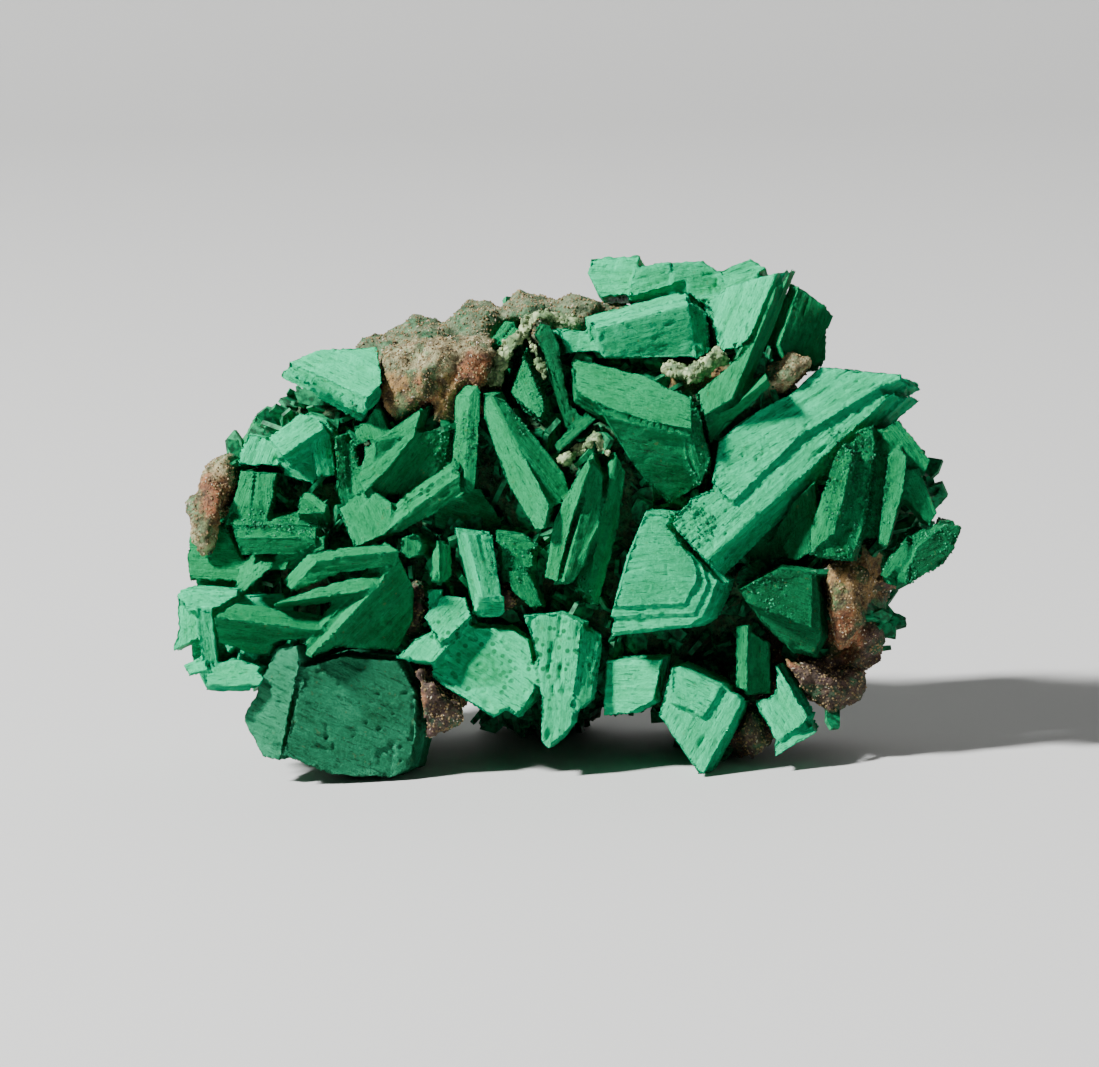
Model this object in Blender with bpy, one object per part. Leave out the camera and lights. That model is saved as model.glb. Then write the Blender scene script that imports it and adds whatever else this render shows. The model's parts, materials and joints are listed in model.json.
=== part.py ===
"""A cabinet specimen of malachite after barite.

Thick tabular malachite blades radiate from a lumpy limonite matrix. Every blade is drawn as an
outline in the front view, in millimetres, with its depth behind the foremost plate, the way that
its face leans and the sweep that gives its thickness. Blades that grew into each other are one
solid. ROOM stays between one solid and the next.
"""
import math
import random
from collections import namedtuple

import bmesh
import bpy
from mathutils import Vector, noise
from mathutils.bvhtree import BVHTree

# Driving dimensions, in metres
SPECIMEN_WIDTH = 0.080
ROOM = 0.00045
VIEW_DISTANCE = 0.600

# The front view is drawn in millimetres at this width, from this centre, tilt and roll
DRAWN_WIDTH = 79.5
DRAWN_CENTRE = (-2.05, 24.65)
VIEW_TILT = math.radians(8.0)
VIEW_ROLL = math.radians(1.2)
UNIT = SPECIMEN_WIDTH / DRAWN_WIDTH

# Middle of the finished cluster's box in the front view's frame
BOX_MIDDLE = (-0.0002, 0.0201)

# Leaves: the steps along a blade's thickness, as a share of the inset that each edge may take
STEP = 0.45
BIG_STEP = 0.7

# Faces closer than this angle are one face
FLAT = math.radians(0.8)

# Colours, roughness
GREEN = ((0.05, 0.42, 0.24, 1.0), 0.62)
MINT = ((0.20, 0.66, 0.45, 1.0), 0.66)
DARK_GREEN = ((0.02, 0.25, 0.12, 1.0), 0.60)
GREY_GREEN = ((0.16, 0.40, 0.30, 1.0), 0.72)
PALE = ((0.70, 0.74, 0.58, 1.0), 0.80)
BROWN = ((0.30, 0.21, 0.15, 1.0), 0.85)

Blade = namedtuple("Blade", "outline depth lean sweep leaves step taper")


def blade(outline, depth, lean, sweep, leaves=2, step=STEP, taper=0.0):
    """One blade: its near face, then the sweep (right, up, back) to its far face."""
    return Blade(outline, depth, lean, sweep, leaves, step, taper)


# The two plates that meet at the lower left, with a step: the foot of the specimen
FRONT_LEFT_PLATES = [
    blade([(-27.0, 11.5), (-22.5, 12.8), (-17.0, 12.3), (-15.2, 9.0), (-15.0, 4.5), (-15.8, 1.0),
           (-18.0, 0.0), (-24.0, 0.2), (-29.2, 2.2)],
          0.6, (0.22, 0.05), (1.5, 0.5, 7.0), 2),
    blade([(-29.5, 13.2), (-27.3, 13.5), (-27.0, 12.0), (-28.3, 6.0), (-29.0, 1.9), (-30.8, 2.2),
           (-32.7, 6.0), (-30.8, 10.5)],
          0.2, (-0.55, 0.0), (2.5, 0.5, 6.0), 1),
    blade([(-20.5, 0.4), (-19.2, 3.0), (-17.2, 3.6), (-17.8, 0.1)],
          0.75, (0.22, 0.05), (0.4, 0.3, 3.0), 1),
]

# The diagonal blade, the shelf and the two curved blades that end against it
LEFT_FAN_BLADES = [
    blade([(-17.2, 23.2), (-15.0, 19.0), (-15.2, 16.0), (-17.0, 12.7), (-22.5, 12.9), (-26.2, 11.4),
           (-26.3, 12.6), (-24.0, 15.2), (-19.0, 20.2)],
          0.4, (0.55, -0.22), (-1.5, 0.8, 2.6), 2),
    blade([(-35.8, 16.4), (-33.0, 16.1), (-25.0, 14.9), (-26.0, 14.0), (-28.5, 12.6), (-31.0, 12.2),
           (-35.2, 13.6)],
          -0.2, (0.0, -0.9), (2.4, 1.4, 3.0), 1),
    blade([(-28.0, 19.0), (-25.2, 22.0), (-22.5, 22.5), (-16.9, 22.9), (-17.3, 21.3), (-22.5, 20.7),
           (-27.3, 18.8)],
          0.4, (0.0, -0.6), (-1.0, 0.8, 2.6), 1),
    blade([(-29.8, 17.5), (-29.0, 18.2), (-22.5, 20.1), (-17.6, 20.9), (-20.5, 18.8)],
          0.0, (0.0, 0.8), (0.2, -0.6, 2.6), 1),
]

# The plate with the leg at the left end, the plate below it and the crystals in its hollow
LEFT_END_BLADES = [
    blade([(-39.5, 19.0), (-38.0, 19.5), (-33.0, 19.3), (-33.0, 18.0), (-35.6, 16.6), (-38.5, 16.6),
           (-39.7, 18.0)],
          1.8, (0.0, 0.5), (1.0, 0.0, 6.0), 2),
    blade([(-37.4, 17.4), (-35.8, 16.9), (-35.2, 11.6), (-36.8, 11.2), (-37.2, 14.0)],
          1.0, (0.2, 0.0), (0.4, 0.0, 4.0), 1),
    blade([(-39.4, 18.4), (-37.2, 18.2), (-37.0, 14.2), (-39.9, 12.8), (-39.3, 15.2)],
          2.2, (-0.2, 0.1), (0.9, 0.0, 5.0), 1),
    blade([(-37.0, 11.0), (-35.0, 12.0), (-33.0, 12.6), (-29.8, 11.2), (-31.0, 9.0), (-36.7, 9.0)],
          0.6, (0.0, 0.8), (0.6, 0.0, 4.6), 2),
    blade([(-38.8, 11.5), (-36.6, 12.6), (-36.0, 11.0), (-38.2, 10.3)],
          0.8, (-0.1, 0.5), (0.8, 0.2, 3.0), 1),
    blade([(-34.8, 14.0), (-33.5, 14.9), (-32.8, 14.0), (-34.2, 12.6)],
          1.6, (-0.3, 0.4), (0.6, -0.4, 4.0), 1),
    blade([(-33.3, 12.6), (-32.3, 15.3), (-31.9, 14.8), (-32.5, 12.6)],
          1.3, (0.3, 0.2), (0.3, 0.0, 4.0), 1),
    blade([(-33.2, 14.3), (-31.7, 15.4), (-30.7, 13.6), (-31.2, 11.2), (-33.0, 11.2)],
          2.4, (0.2, -0.2), (0.4, 0.0, 4.0), 1),
]

# The thick blade with a crusted top, and the plates behind and above it
CRUSTED_BLADES = [
    blade([(-34.2, 24.7), (-25.2, 24.7), (-25.0, 23.5), (-27.0, 22.3), (-33.2, 22.2)],
          2.6, (0.05, -0.3), (0.3, 2.2, 5.4), 2),
    blade([(-33.6, 19.4), (-30.8, 21.8), (-29.6, 21.4), (-32.5, 18.6)],
          1.8, (0.0, 0.5), (0.4, 2.2, 5.0), 1),
    blade([(-28.8, 23.6), (-24.6, 24.4), (-24.4, 22.6), (-27.6, 20.8), (-30.4, 21.0)],
          3.4, (-0.3, 0.3), (0.4, 0.4, 5.0), 1),
    blade([(-27.2, 28.4), (-26.3, 29.1), (-24.1, 27.6), (-24.6, 26.6), (-27.4, 26.6)],
          4.6, (0.0, 0.8), (0.3, -1.5, 3.0), 1),
    blade([(-35.4, 26.6), (-33.8, 25.0), (-32.6, 22.2), (-32.0, 21.0), (-33.0, 18.6), (-38.6, 18.6),
           (-39.0, 22.0), (-38.6, 25.0)],
          6.2, (-0.15, 0.25), (2.4, 0.0, 6.0), 2, BIG_STEP),
    blade([(-31.9, 31.0), (-29.2, 30.8), (-29.6, 28.2), (-30.6, 25.4), (-32.2, 25.4)],
          6.0, (0.1, 0.3), (0.6, 0.2, 6.0), 1),
    blade([(-33.2, 31.0), (-31.8, 31.0), (-31.8, 25.4), (-34.8, 25.4), (-33.4, 29.3)],
          6.9, (-0.1, 0.3), (1.0, 0.3, 6.0), 1),
]

# The bright slab at the upper left and the blocks around it
BRIGHT_SLAB = [
    blade([(-30.8, 34.4), (-26.9, 37.2), (-24.8, 36.5), (-24.2, 34.9), (-28.8, 31.9), (-29.3, 32.6)],
          7.4, (-0.1, 0.6), (1.4, -0.9, 3.4), 2),
    blade([(-33.3, 32.3), (-32.3, 34.8), (-30.5, 34.4), (-28.8, 33.1), (-29.2, 31.0), (-33.2, 31.2)],
          8.2, (0.1, 0.3), (1.4, -0.4, 7.0), 1),
    blade([(-29.4, 32.4), (-24.2, 33.0), (-25.6, 29.4), (-29.4, 30.6)],
          8.6, (0.2, 0.1), (0.4, 0.2, 5.0), 1),
    blade([(-26.2, 34.4), (-23.9, 34.8), (-23.4, 30.4), (-25.2, 30.0)],
          8.0, (0.3, 0.0), (0.4, 0.2, 5.0), 1),
]

UPPER_LEFT_WING = [
    blade([(-28.6, 41.9), (-25.0, 43.3), (-19.0, 43.6), (-18.4, 39.5), (-20.0, 37.9), (-27.2, 41.1)],
          8.6, (0.0, 1.3), (-0.6, -1.6, 1.6), 2),
    blade([(-26.6, 39.6), (-20.2, 37.2), (-20.8, 35.6), (-25.2, 38.0)],
          6.8, (0.2, -0.4), (0.8, 0.8, 4.0), 1),
]

# The narrow diagonal blade, the face below it, and the broken blades above
UPPER_LEFT_BLADES = [
    blade([(-19.7, 24.0), (-17.0, 24.4), (-13.0, 26.6), (-10.6, 28.6), (-10.6, 31.1), (-16.0, 27.2)],
          3.0, (0.15, -0.4), (-0.8, 1.3, 2.8), 2),
    blade([(-23.4, 27.4), (-20.4, 29.4), (-17.8, 27.8), (-18.0, 24.6), (-21.6, 23.2)],
          4.6, (-0.2, 0.4), (0.4, -0.3, 4.0), 1),
    blade([(-20.8, 33.4), (-14.4, 38.0), (-15.4, 34.0), (-18.4, 30.6), (-20.6, 28.2), (-21.4, 30.0)],
          5.6, (-0.25, 0.3), (1.0, -0.5, 4.0), 2),
    blade([(-19.6, 34.0), (-11.8, 35.4), (-11.2, 30.6), (-15.0, 28.2), (-20.0, 28.6)],
          6.6, (0.2, -0.2), (0.5, 0.3, 5.0), 1),
    blade([(-23.7, 34.4), (-22.7, 34.6), (-22.0, 28.4), (-23.2, 28.0)],
          5.8, (0.3, 0.1), (0.6, 0.2, 5.0), 1),
    blade([(-22.6, 33.6), (-21.6, 34.0), (-20.6, 29.0), (-22.2, 28.4)],
          6.4, (-0.2, 0.1), (0.6, 0.2, 5.0), 1),
    blade([(-22.0, 37.4), (-19.2, 38.0), (-17.8, 34.6), (-21.4, 33.4)],
          7.4, (-0.2, 0.4), (0.4, 0.2, 4.0), 1),
]

STICK_BLADE = [
    blade([(-10.2, 38.4), (-9.2, 39.6), (-8.8, 38.8), (-9.0, 34.0), (-9.4, 29.0), (-10.0, 28.7),
           (-10.6, 29.3), (-10.4, 31.5)],
          4.4, (0.3, 0.2), (-1.4, 0.0, 3.0), 1),
]

# The long ridged blade and the striated prisms that it runs into
CENTRAL_PRISMS = [
    blade([(-3.1, 20.0), (-2.2, 25.5), (-0.5, 29.0), (1.8, 32.8), (2.3, 31.0), (0.6, 26.0),
           (-1.0, 19.3)],
          1.6, (-0.5, 0.15), (1.0, 0.3, 6.0), 2),
    blade([(2.1, 32.6), (3.8, 30.5), (3.5, 27.0), (2.0, 22.0), (0.5, 19.6), (-1.2, 19.3), (0.5, 26.0)],
          1.7, (0.45, 0.15), (-0.5, 0.2, 5.0), 2),
    blade([(4.5, 33.0), (5.6, 31.0), (4.9, 25.0), (3.6, 20.0), (2.9, 17.3), (1.6, 18.8), (3.0, 26.3)],
          3.2, (0.55, 0.1), (-1.2, 0.2, 5.0), 1),
    blade([(0.9, 22.2), (3.2, 26.4), (1.4, 21.4)],
          0.9, (0.3, 0.15), (0.1, 0.1, 2.4), 1),
    blade([(-9.0, 38.6), (-7.6, 38.4), (-2.0, 27.6), (-2.5, 25.0), (-3.6, 25.0), (-6.6, 30.0),
           (-8.6, 36.0)],
          3.2, (-0.25, 0.3), (1.0, 0.5, 5.0), 1),
    blade([(-7.8, 38.5), (-6.5, 38.1), (-0.5, 30.6), (0.0, 29.0), (-1.0, 27.6), (-2.2, 27.0)],
          3.6, (0.4, 0.35), (-0.8, 0.2, 4.6), 1),
]

VERTICAL_PRISM = [
    blade([(-11.0, 25.2), (-7.5, 24.8), (-6.5, 18.0), (-9.0, 17.7)],
          2.2, (0.3, 0.12), (-0.9, 0.1, 4.0), 2),
    blade([(-9.2, 18.4), (-6.5, 18.4), (-6.4, 16.8), (-7.0, 16.2), (-8.8, 16.2), (-9.4, 16.8)],
          2.5, (0.2, -0.4), (-0.6, 0.0, 3.0), 1),
]

# The two spotted plates at the centre bottom and the blades that lean on them from the left
CENTRE_PLATES = [
    blade([(-14.2, 12.0), (-10.5, 16.3), (-9.0, 15.6), (-6.0, 15.6), (-4.0, 14.2), (-2.9, 9.5),
           (-4.0, 7.5), (-5.5, 6.0), (-6.7, 6.8), (-8.0, 6.0), (-12.0, 8.5), (-14.0, 10.0)],
          2.2, (-0.05, 0.35), (0.8, 0.3, 6.0), 2),
    blade([(-4.8, 16.6), (-1.0, 16.9), (1.4, 15.8), (0.6, 10.0), (0.2, 5.6), (-0.6, 4.4),
           (-2.2, 3.0), (-3.0, 3.8), (-3.0, 9.0), (-3.6, 13.2)],
          1.2, (-0.05, 0.15), (0.6, 0.2, 5.0), 1),
    blade([(1.0, 16.0), (3.3, 14.6), (3.4, 13.0), (2.8, 8.0), (1.5, 7.0), (-0.2, 5.2), (0.3, 10.0)],
          1.9, (0.45, 0.15), (-0.3, 0.3, 5.0), 2, BIG_STEP),
    blade([(-14.6, 16.2), (-13.0, 18.4), (-10.4, 18.4), (-9.8, 16.4), (-13.0, 13.4)],
          2.4, (-0.1, 0.5), (0.5, -0.4, 5.0), 1),
    blade([(-17.6, 12.2), (-15.6, 14.1), (-11.0, 16.4), (-11.0, 14.6), (-13.6, 11.6)],
          1.6, (0.0, 0.7), (0.2, -0.4, 4.0), 1),
    blade([(-14.4, 19.2), (-12.8, 19.2), (-12.8, 16.8), (-14.2, 15.4)],
          3.4, (0.2, 0.2), (0.2, 0.0, 3.6), 1),
]

ROUGH_CENTRE_BLADES = [
    blade([(-8.0, 25.4), (-4.6, 25.0), (-2.6, 23.2), (-4.4, 22.4), (-7.6, 23.0)],
          4.4, (0.1, 0.2), (0.2, -0.3, 3.6), 2),
    blade([(-8.4, 23.6), (-3.2, 23.0), (-3.4, 21.0), (-6.6, 20.4), (-8.2, 21.4)],
          4.0, (0.1, 0.2), (0.2, -0.2, 4.0), 2),
    blade([(-6.3, 21.2), (-4.0, 20.8), (-2.4, 16.8), (-3.6, 16.6), (-6.0, 19.0)],
          3.4, (0.2, 0.2), (0.3, 0.2, 3.4), 1),
    blade([(-13.6, 29.6), (-8.8, 29.0), (-6.8, 26.0), (-7.6, 23.6), (-13.6, 25.4)],
          7.0, (0.2, -0.2), (0.2, -0.2, 5.0), 1),
]

SMALL_LEFT_PRISMS = [
    blade([(-14.9, 21.3), (-13.0, 24.2), (-13.0, 19.6), (-13.9, 20.0)],
          3.4, (-0.7, 0.0), (1.2, 0.0, 4.6), 1),
    blade([(-13.3, 24.1), (-11.9, 23.6), (-11.7, 20.5), (-13.0, 19.0), (-13.8, 20.0), (-13.3, 21.6)],
          3.4, (0.5, 0.0), (-0.3, 0.0, 4.0), 1),
    blade([(-17.0, 24.2), (-15.6, 24.8), (-14.7, 23.8), (-14.9, 22.4), (-16.2, 22.0), (-17.1, 22.8)],
          2.8, (0.1, 0.2), (1.6, 0.0, 5.0), 1),
]

# The shield: a lit top face, a dark front face and a worn end
SHIELD_BLADE = [
    blade([(-0.2, 42.0), (0.6, 42.5), (7.0, 41.0), (12.4, 38.5), (12.4, 34.9), (7.2, 35.8),
           (2.8, 37.3), (0.2, 38.9)],
          5.2, (0.0, 0.75), (0.4, -1.6, 4.0), 2),
    blade([(2.6, 37.3), (7.3, 35.7), (12.2, 34.8), (13.6, 30.0), (13.0, 29.0), (10.0, 27.0),
           (8.0, 29.0), (6.0, 31.5)],
          3.6, (0.15, -0.35), (-0.4, 1.0, 5.0), 2),
    blade([(11.4, 36.4), (12.8, 37.4), (14.2, 32.4), (13.0, 29.2), (11.6, 32.0)],
          3.6, (0.4, 0.1), (-0.6, 0.4, 4.0), 1),
]

V_BLADE = [
    blade([(22.0, 51.7), (20.5, 48.0), (18.5, 43.0), (16.6, 38.2), (13.0, 36.0), (12.0, 38.6),
           (16.0, 42.0), (18.0, 44.0), (20.0, 49.0)],
          6.8, (-0.25, 0.4), (0.9, -0.3, 3.0), 2),
    blade([(13.2, 36.0), (16.6, 37.6), (19.8, 40.2), (20.2, 39.4), (13.9, 33.4)],
          5.6, (0.2, -0.5), (-0.3, 0.8, 3.2), 1),
]

GREAT_SLAB = [
    blade([(25.0, 41.7), (33.0, 40.8), (33.5, 40.0), (31.7, 39.1), (33.4, 38.9), (30.0, 36.0),
           (19.0, 26.5), (13.7, 21.2), (11.0, 24.0), (9.8, 25.8), (12.0, 28.5), (14.0, 29.4),
           (14.5, 34.0), (19.0, 37.5), (22.0, 39.0)],
          6.4, (0.1, 0.42), (1.8, -1.0, 5.0), 2),
    blade([(25.0, 41.5), (32.8, 40.7), (33.4, 40.0), (31.4, 39.3), (28.0, 37.2), (23.0, 34.2),
           (20.0, 31.2), (16.4, 27.7), (15.2, 28.4), (14.2, 29.6), (14.8, 34.0), (19.2, 37.3),
           (22.1, 38.8)],
          6.9, (0.1, 0.42), (0.3, -0.1, 3.0), 1),
]

BOOK_PLATE = [
    blade([(7.5, 27.2), (10.0, 26.8), (13.0, 21.8), (15.2, 20.0), (14.5, 18.0), (13.5, 16.0),
           (12.0, 15.2), (3.5, 14.3), (4.2, 18.0), (5.5, 22.5)],
          2.2, (0.12, 0.30), (1.4, 0.1, 5.0), 2),
    blade([(7.5, 27.0), (10.0, 26.6), (13.4, 21.2), (13.8, 19.6), (12.6, 16.6), (3.9, 16.2),
           (4.4, 18.0), (5.6, 22.5)],
          2.1, (0.12, 0.30), (0.2, 0.2, 3.0), 1),
    blade([(7.6, 26.8), (9.8, 26.4), (12.8, 21.4), (12.6, 19.6), (11.6, 17.6), (4.2, 17.2),
           (4.7, 18.6), (5.8, 22.5)],
          1.8, (0.12, 0.30), (0.2, 0.2, 2.0), 1),
]

# The face in the shadow under the great slab
SLAB_SHADOW_BLADES = [
    blade([(16.0, 21.6), (20.0, 25.8), (24.6, 30.0), (25.0, 24.0), (22.0, 21.0)],
          7.6, (0.1, -0.5), (0.4, 0.6, 5.0), 1),
    blade([(21.0, 23.4), (24.4, 27.6), (24.2, 22.8), (22.2, 21.4)],
          6.2, (-0.3, 0.4), (0.2, 0.2, 4.0), 1),
]

DARK_PRISM = [
    blade([(-3.4, 44.5), (-2.7, 45.7), (-1.8, 45.5), (-1.0, 43.5), (-0.2, 38.8), (1.0, 36.5),
           (0.7, 35.2), (-0.2, 34.8), (-2.0, 41.0)],
          8.2, (0.3, 0.35), (-0.4, 0.2, 5.0), 1),
    blade([(-1.6, 33.6), (2.0, 37.2), (2.8, 36.2), (-1.2, 32.6)],
          5.2, (0.1, 0.4), (0.2, 0.4, 5.0), 1),
]

CRUST_BLADE = [
    blade([(-4.5, 43.4), (-5.5, 41.0), (-6.3, 39.0), (-5.0, 37.0), (-3.0, 35.6), (-2.2, 37.4),
           (-3.9, 42.0)],
          8.8, (-0.1, 0.5), (0.4, -0.2, 4.0), 2),
]

TOP_BOX_BLADE = [
    blade([(2.0, 45.3), (12.3, 48.0), (13.0, 43.5), (12.5, 41.8), (3.0, 41.6)],
          9.6, (0.1, -0.2), (-1.0, 1.3, 6.4), 3),
    blade([(12.2, 47.8), (13.7, 46.8), (14.2, 43.0), (12.6, 41.9)],
          10.6, (0.6, 0.2), (-0.6, 0.4, 5.0), 1),
    blade([(-2.4, 45.4), (2.8, 44.8), (2.8, 42.8), (-1.4, 42.6)],
          11.0, (0.1, 0.3), (0.2, -0.3, 5.0), 1),
]

# The blurred blades along the top and the plates behind the V
TOP_BACK_BLADES = [
    blade([(2.0, 52.3), (7.0, 52.5), (6.4, 48.6), (3.0, 48.2), (1.6, 50.6)],
          17.4, (-0.1, 0.3), (0.6, -1.0, 9.0), 1),
    blade([(6.4, 51.4), (9.8, 52.0), (10.2, 47.8), (5.6, 48.0)],
          15.4, (0.1, 0.3), (0.4, -0.8, 9.0), 1),
    blade([(9.6, 52.2), (13.0, 52.4), (14.8, 51.5), (15.6, 49.0), (12.5, 47.0), (9.8, 48.0)],
          16.0, (0.2, 0.3), (0.2, -1.0, 9.0), 2),
    blade([(12.7, 48.2), (15.2, 48.8), (15.0, 47.7), (13.4, 46.4)],
          13.4, (0.1, 0.6), (0.2, 0.2, 5.0), 1),
    blade([(13.2, 47.8), (15.4, 49.6), (21.5, 51.4), (18.6, 44.6), (17.2, 43.0), (13.2, 42.2)],
          11.4, (-0.2, 0.35), (0.8, -0.6, 7.0), 2),
    blade([(14.8, 51.0), (18.0, 52.2), (19.8, 51.2), (15.5, 48.2)],
          16.0, (0.0, 0.4), (0.4, -1.0, 7.0), 1),
]

RIGHT_BACK_PLATE = [
    blade([(23.0, 50.0), (25.0, 48.5), (26.7, 46.3), (25.9, 44.4), (25.8, 41.0), (21.6, 41.2),
           (20.6, 43.4), (22.4, 48.6)],
          12.4, (0.45, 0.2), (-2.0, -0.4, 6.0), 2),
]

SMALL_STICKS = [
    blade([(-8.6, 43.2), (-6.5, 46.0), (-5.2, 46.0), (-7.4, 42.8)],
          12.8, (0.1, 0.7), (0.5, -0.5, 4.0), 1),
    blade([(-7.6, 43.4), (-5.8, 45.8), (-4.2, 45.0), (-5.4, 43.2)],
          12.6, (0.1, 0.7), (0.3, -0.5, 5.0), 1),
]

# The steep blades under the right end of the great slab, and those behind them
RIGHT_VERTICAL_BLADES = [
    blade([(27.3, 33.8), (28.3, 32.6), (27.4, 28.0), (26.4, 24.5), (23.8, 22.2), (24.0, 25.6),
           (26.2, 32.0)],
          3.2, (-0.2, 0.3), (1.6, 0.3, 4.6), 1),
    blade([(28.4, 35.4), (30.4, 36.0), (30.8, 33.6), (29.4, 25.0), (28.2, 21.6), (24.4, 22.0),
           (27.0, 28.0)],
          4.6, (0.25, 0.3), (0.6, 0.2, 4.8), 2),
    blade([(31.8, 32.6), (33.0, 33.4), (33.8, 32.2), (33.5, 29.0), (31.8, 23.2), (30.8, 23.6)],
          5.4, (-0.2, 0.2), (0.2, 0.2, 6.0), 1),
    blade([(34.0, 31.0), (35.0, 31.2), (36.8, 26.6), (36.0, 25.2), (33.6, 28.0)],
          6.6, (0.3, 0.2), (-0.8, 0.2, 4.6), 1),
    blade([(31.0, 35.2), (33.0, 36.2), (36.2, 32.0), (35.2, 29.8), (32.8, 30.2), (31.2, 33.0)],
          8.0, (0.2, 0.3), (-0.6, -0.4, 7.0), 1),
    blade([(30.0, 34.4), (32.0, 33.6), (32.2, 24.4), (29.0, 24.0)],
          7.4, (0.0, 0.2), (0.0, 0.0, 5.0), 1),
]

RIGHT_WING = [
    blade([(33.5, 19.0), (33.2, 21.0), (34.2, 23.0), (37.5, 25.8), (39.5, 25.8), (39.7, 25.0),
           (39.0, 23.0), (37.5, 21.0), (35.0, 19.8)],
          3.6, (0.35, 0.25), (-2.4, 0.6, 4.0), 2),
    blade([(30.8, 20.5), (32.5, 22.7), (33.8, 24.6), (33.9, 22.3), (31.6, 19.9)],
          3.4, (-0.2, 0.4), (0.4, 0.2, 3.4), 1),
]

RIGHT_DARK_BLADES = [
    blade([(16.3, 19.2), (19.2, 20.7), (21.0, 21.6), (24.8, 21.1), (25.3, 18.0), (25.5, 14.0),
           (24.5, 12.0), (22.0, 12.6), (19.0, 15.4)],
          3.0, (0.2, -0.05), (0.4, 0.2, 6.0), 2),
    blade([(17.5, 17.7), (19.4, 20.2), (21.0, 21.3), (24.4, 20.8), (24.2, 15.0), (22.4, 15.7)],
          2.3, (0.1, 0.3), (0.2, 0.2, 3.0), 1),
]

THIN_VERTICAL_BLADES = [
    blade([(16.5, 15.4), (17.9, 15.6), (17.8, 8.6), (16.5, 9.2)],
          3.4, (-0.2, 0.1), (0.6, 0.0, 4.6), 1),
    blade([(17.5, 15.4), (19.9, 13.8), (20.2, 8.6), (17.4, 8.4)],
          4.4, (0.3, 0.1), (0.2, 0.0, 4.6), 1),
]

RECESSED_BLADE = [
    blade([(3.4, 12.4), (9.7, 12.5), (8.7, 7.7), (6.5, 6.5), (3.0, 6.2)],
          2.8, (-0.30, 0.1), (0.6, 0.2, 6.0), 2),
]

POINTED_PLATE = [
    blade([(8.5, 6.5), (12.7, 0.2), (13.5, 0.0), (16.5, 5.5), (17.6, 8.2), (15.5, 9.6), (11.0, 11.6),
           (9.8, 11.2)],
          1.4, (0.05, 0.32), (0.8, 0.4, 6.0), 2),
    blade([(10.0, 11.3), (11.0, 11.5), (15.2, 9.4), (13.3, 6.2), (10.0, 7.8)],
          1.7, (0.05, 0.32), (0.3, 0.2, 3.0), 1),
]

BOTTOM_RIGHT_PLATES = [
    blade([(19.0, 6.0), (17.9, 8.4), (19.5, 11.5), (21.0, 11.8), (22.6, 9.4), (24.2, 6.6),
           (23.8, 5.5), (20.5, 3.5)],
          3.6, (-0.1, 0.4), (0.5, 0.1, 4.6), 2),
    blade([(20.3, 3.6), (24.2, 5.6), (24.8, 4.8), (20.5, 2.3)],
          2.4, (0.1, 0.6), (0.2, 0.6, 4.6), 1),
]

BLADE_CLUSTERS = [
    ("front_left_plates", FRONT_LEFT_PLATES, GREY_GREEN),
    ("left_fan_blades", LEFT_FAN_BLADES, GREEN),
    ("left_end_blades", LEFT_END_BLADES, MINT),
    ("crusted_blades", CRUSTED_BLADES, GREEN),
    ("bright_slab", BRIGHT_SLAB, MINT),
    ("upper_left_wing", UPPER_LEFT_WING, MINT),
    ("stick_blade", STICK_BLADE, GREEN),
    ("upper_left_blades", UPPER_LEFT_BLADES, GREEN),
    ("vertical_prism", VERTICAL_PRISM, MINT),
    ("central_prisms", CENTRAL_PRISMS, GREEN),
    ("centre_plates", CENTRE_PLATES, MINT),
    ("rough_centre_blades", ROUGH_CENTRE_BLADES, GREEN),
    ("small_left_prisms", SMALL_LEFT_PRISMS, GREEN),
    ("great_slab", GREAT_SLAB, MINT),
    ("book_plate", BOOK_PLATE, MINT),
    ("shield_blade", SHIELD_BLADE, GREEN),
    ("v_blade", V_BLADE, GREEN),
    ("dark_prism", DARK_PRISM, DARK_GREEN),
    ("crust_blade", CRUST_BLADE, GREEN),
    ("top_box_blade", TOP_BOX_BLADE, MINT),
    ("top_back_blades", TOP_BACK_BLADES, MINT),
    ("right_back_plate", RIGHT_BACK_PLATE, GREEN),
    ("small_sticks", SMALL_STICKS, GREEN),
    ("right_vertical_blades", RIGHT_VERTICAL_BLADES, GREEN),
    ("right_wing", RIGHT_WING, DARK_GREEN),
    ("right_dark_blades", RIGHT_DARK_BLADES, DARK_GREEN),
    ("slab_shadow_blades", SLAB_SHADOW_BLADES, DARK_GREEN),
    ("thin_vertical_blades", THIN_VERTICAL_BLADES, GREEN),
    ("pointed_plate", POINTED_PLATE, MINT),
    ("recessed_blade", RECESSED_BLADE, MINT),
    ("bottom_right_plates", BOTTOM_RIGHT_PLATES, MINT),
]

# Rear dome that the hidden blades stand on: middle and radii in the world, in metres
DOME_MIDDLE = (0.000, -0.001, 0.0235)
DOME_RADII = (0.0300, 0.0165, 0.0150)
HIDDEN_COUNT = 13
HIDDEN_REACH = 0.95
HIDDEN_LENGTH = (0.016, 0.023)
HIDDEN_WIDTH = (0.010, 0.015)
HIDDEN_THICKNESS = (0.0024, 0.0042)

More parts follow.
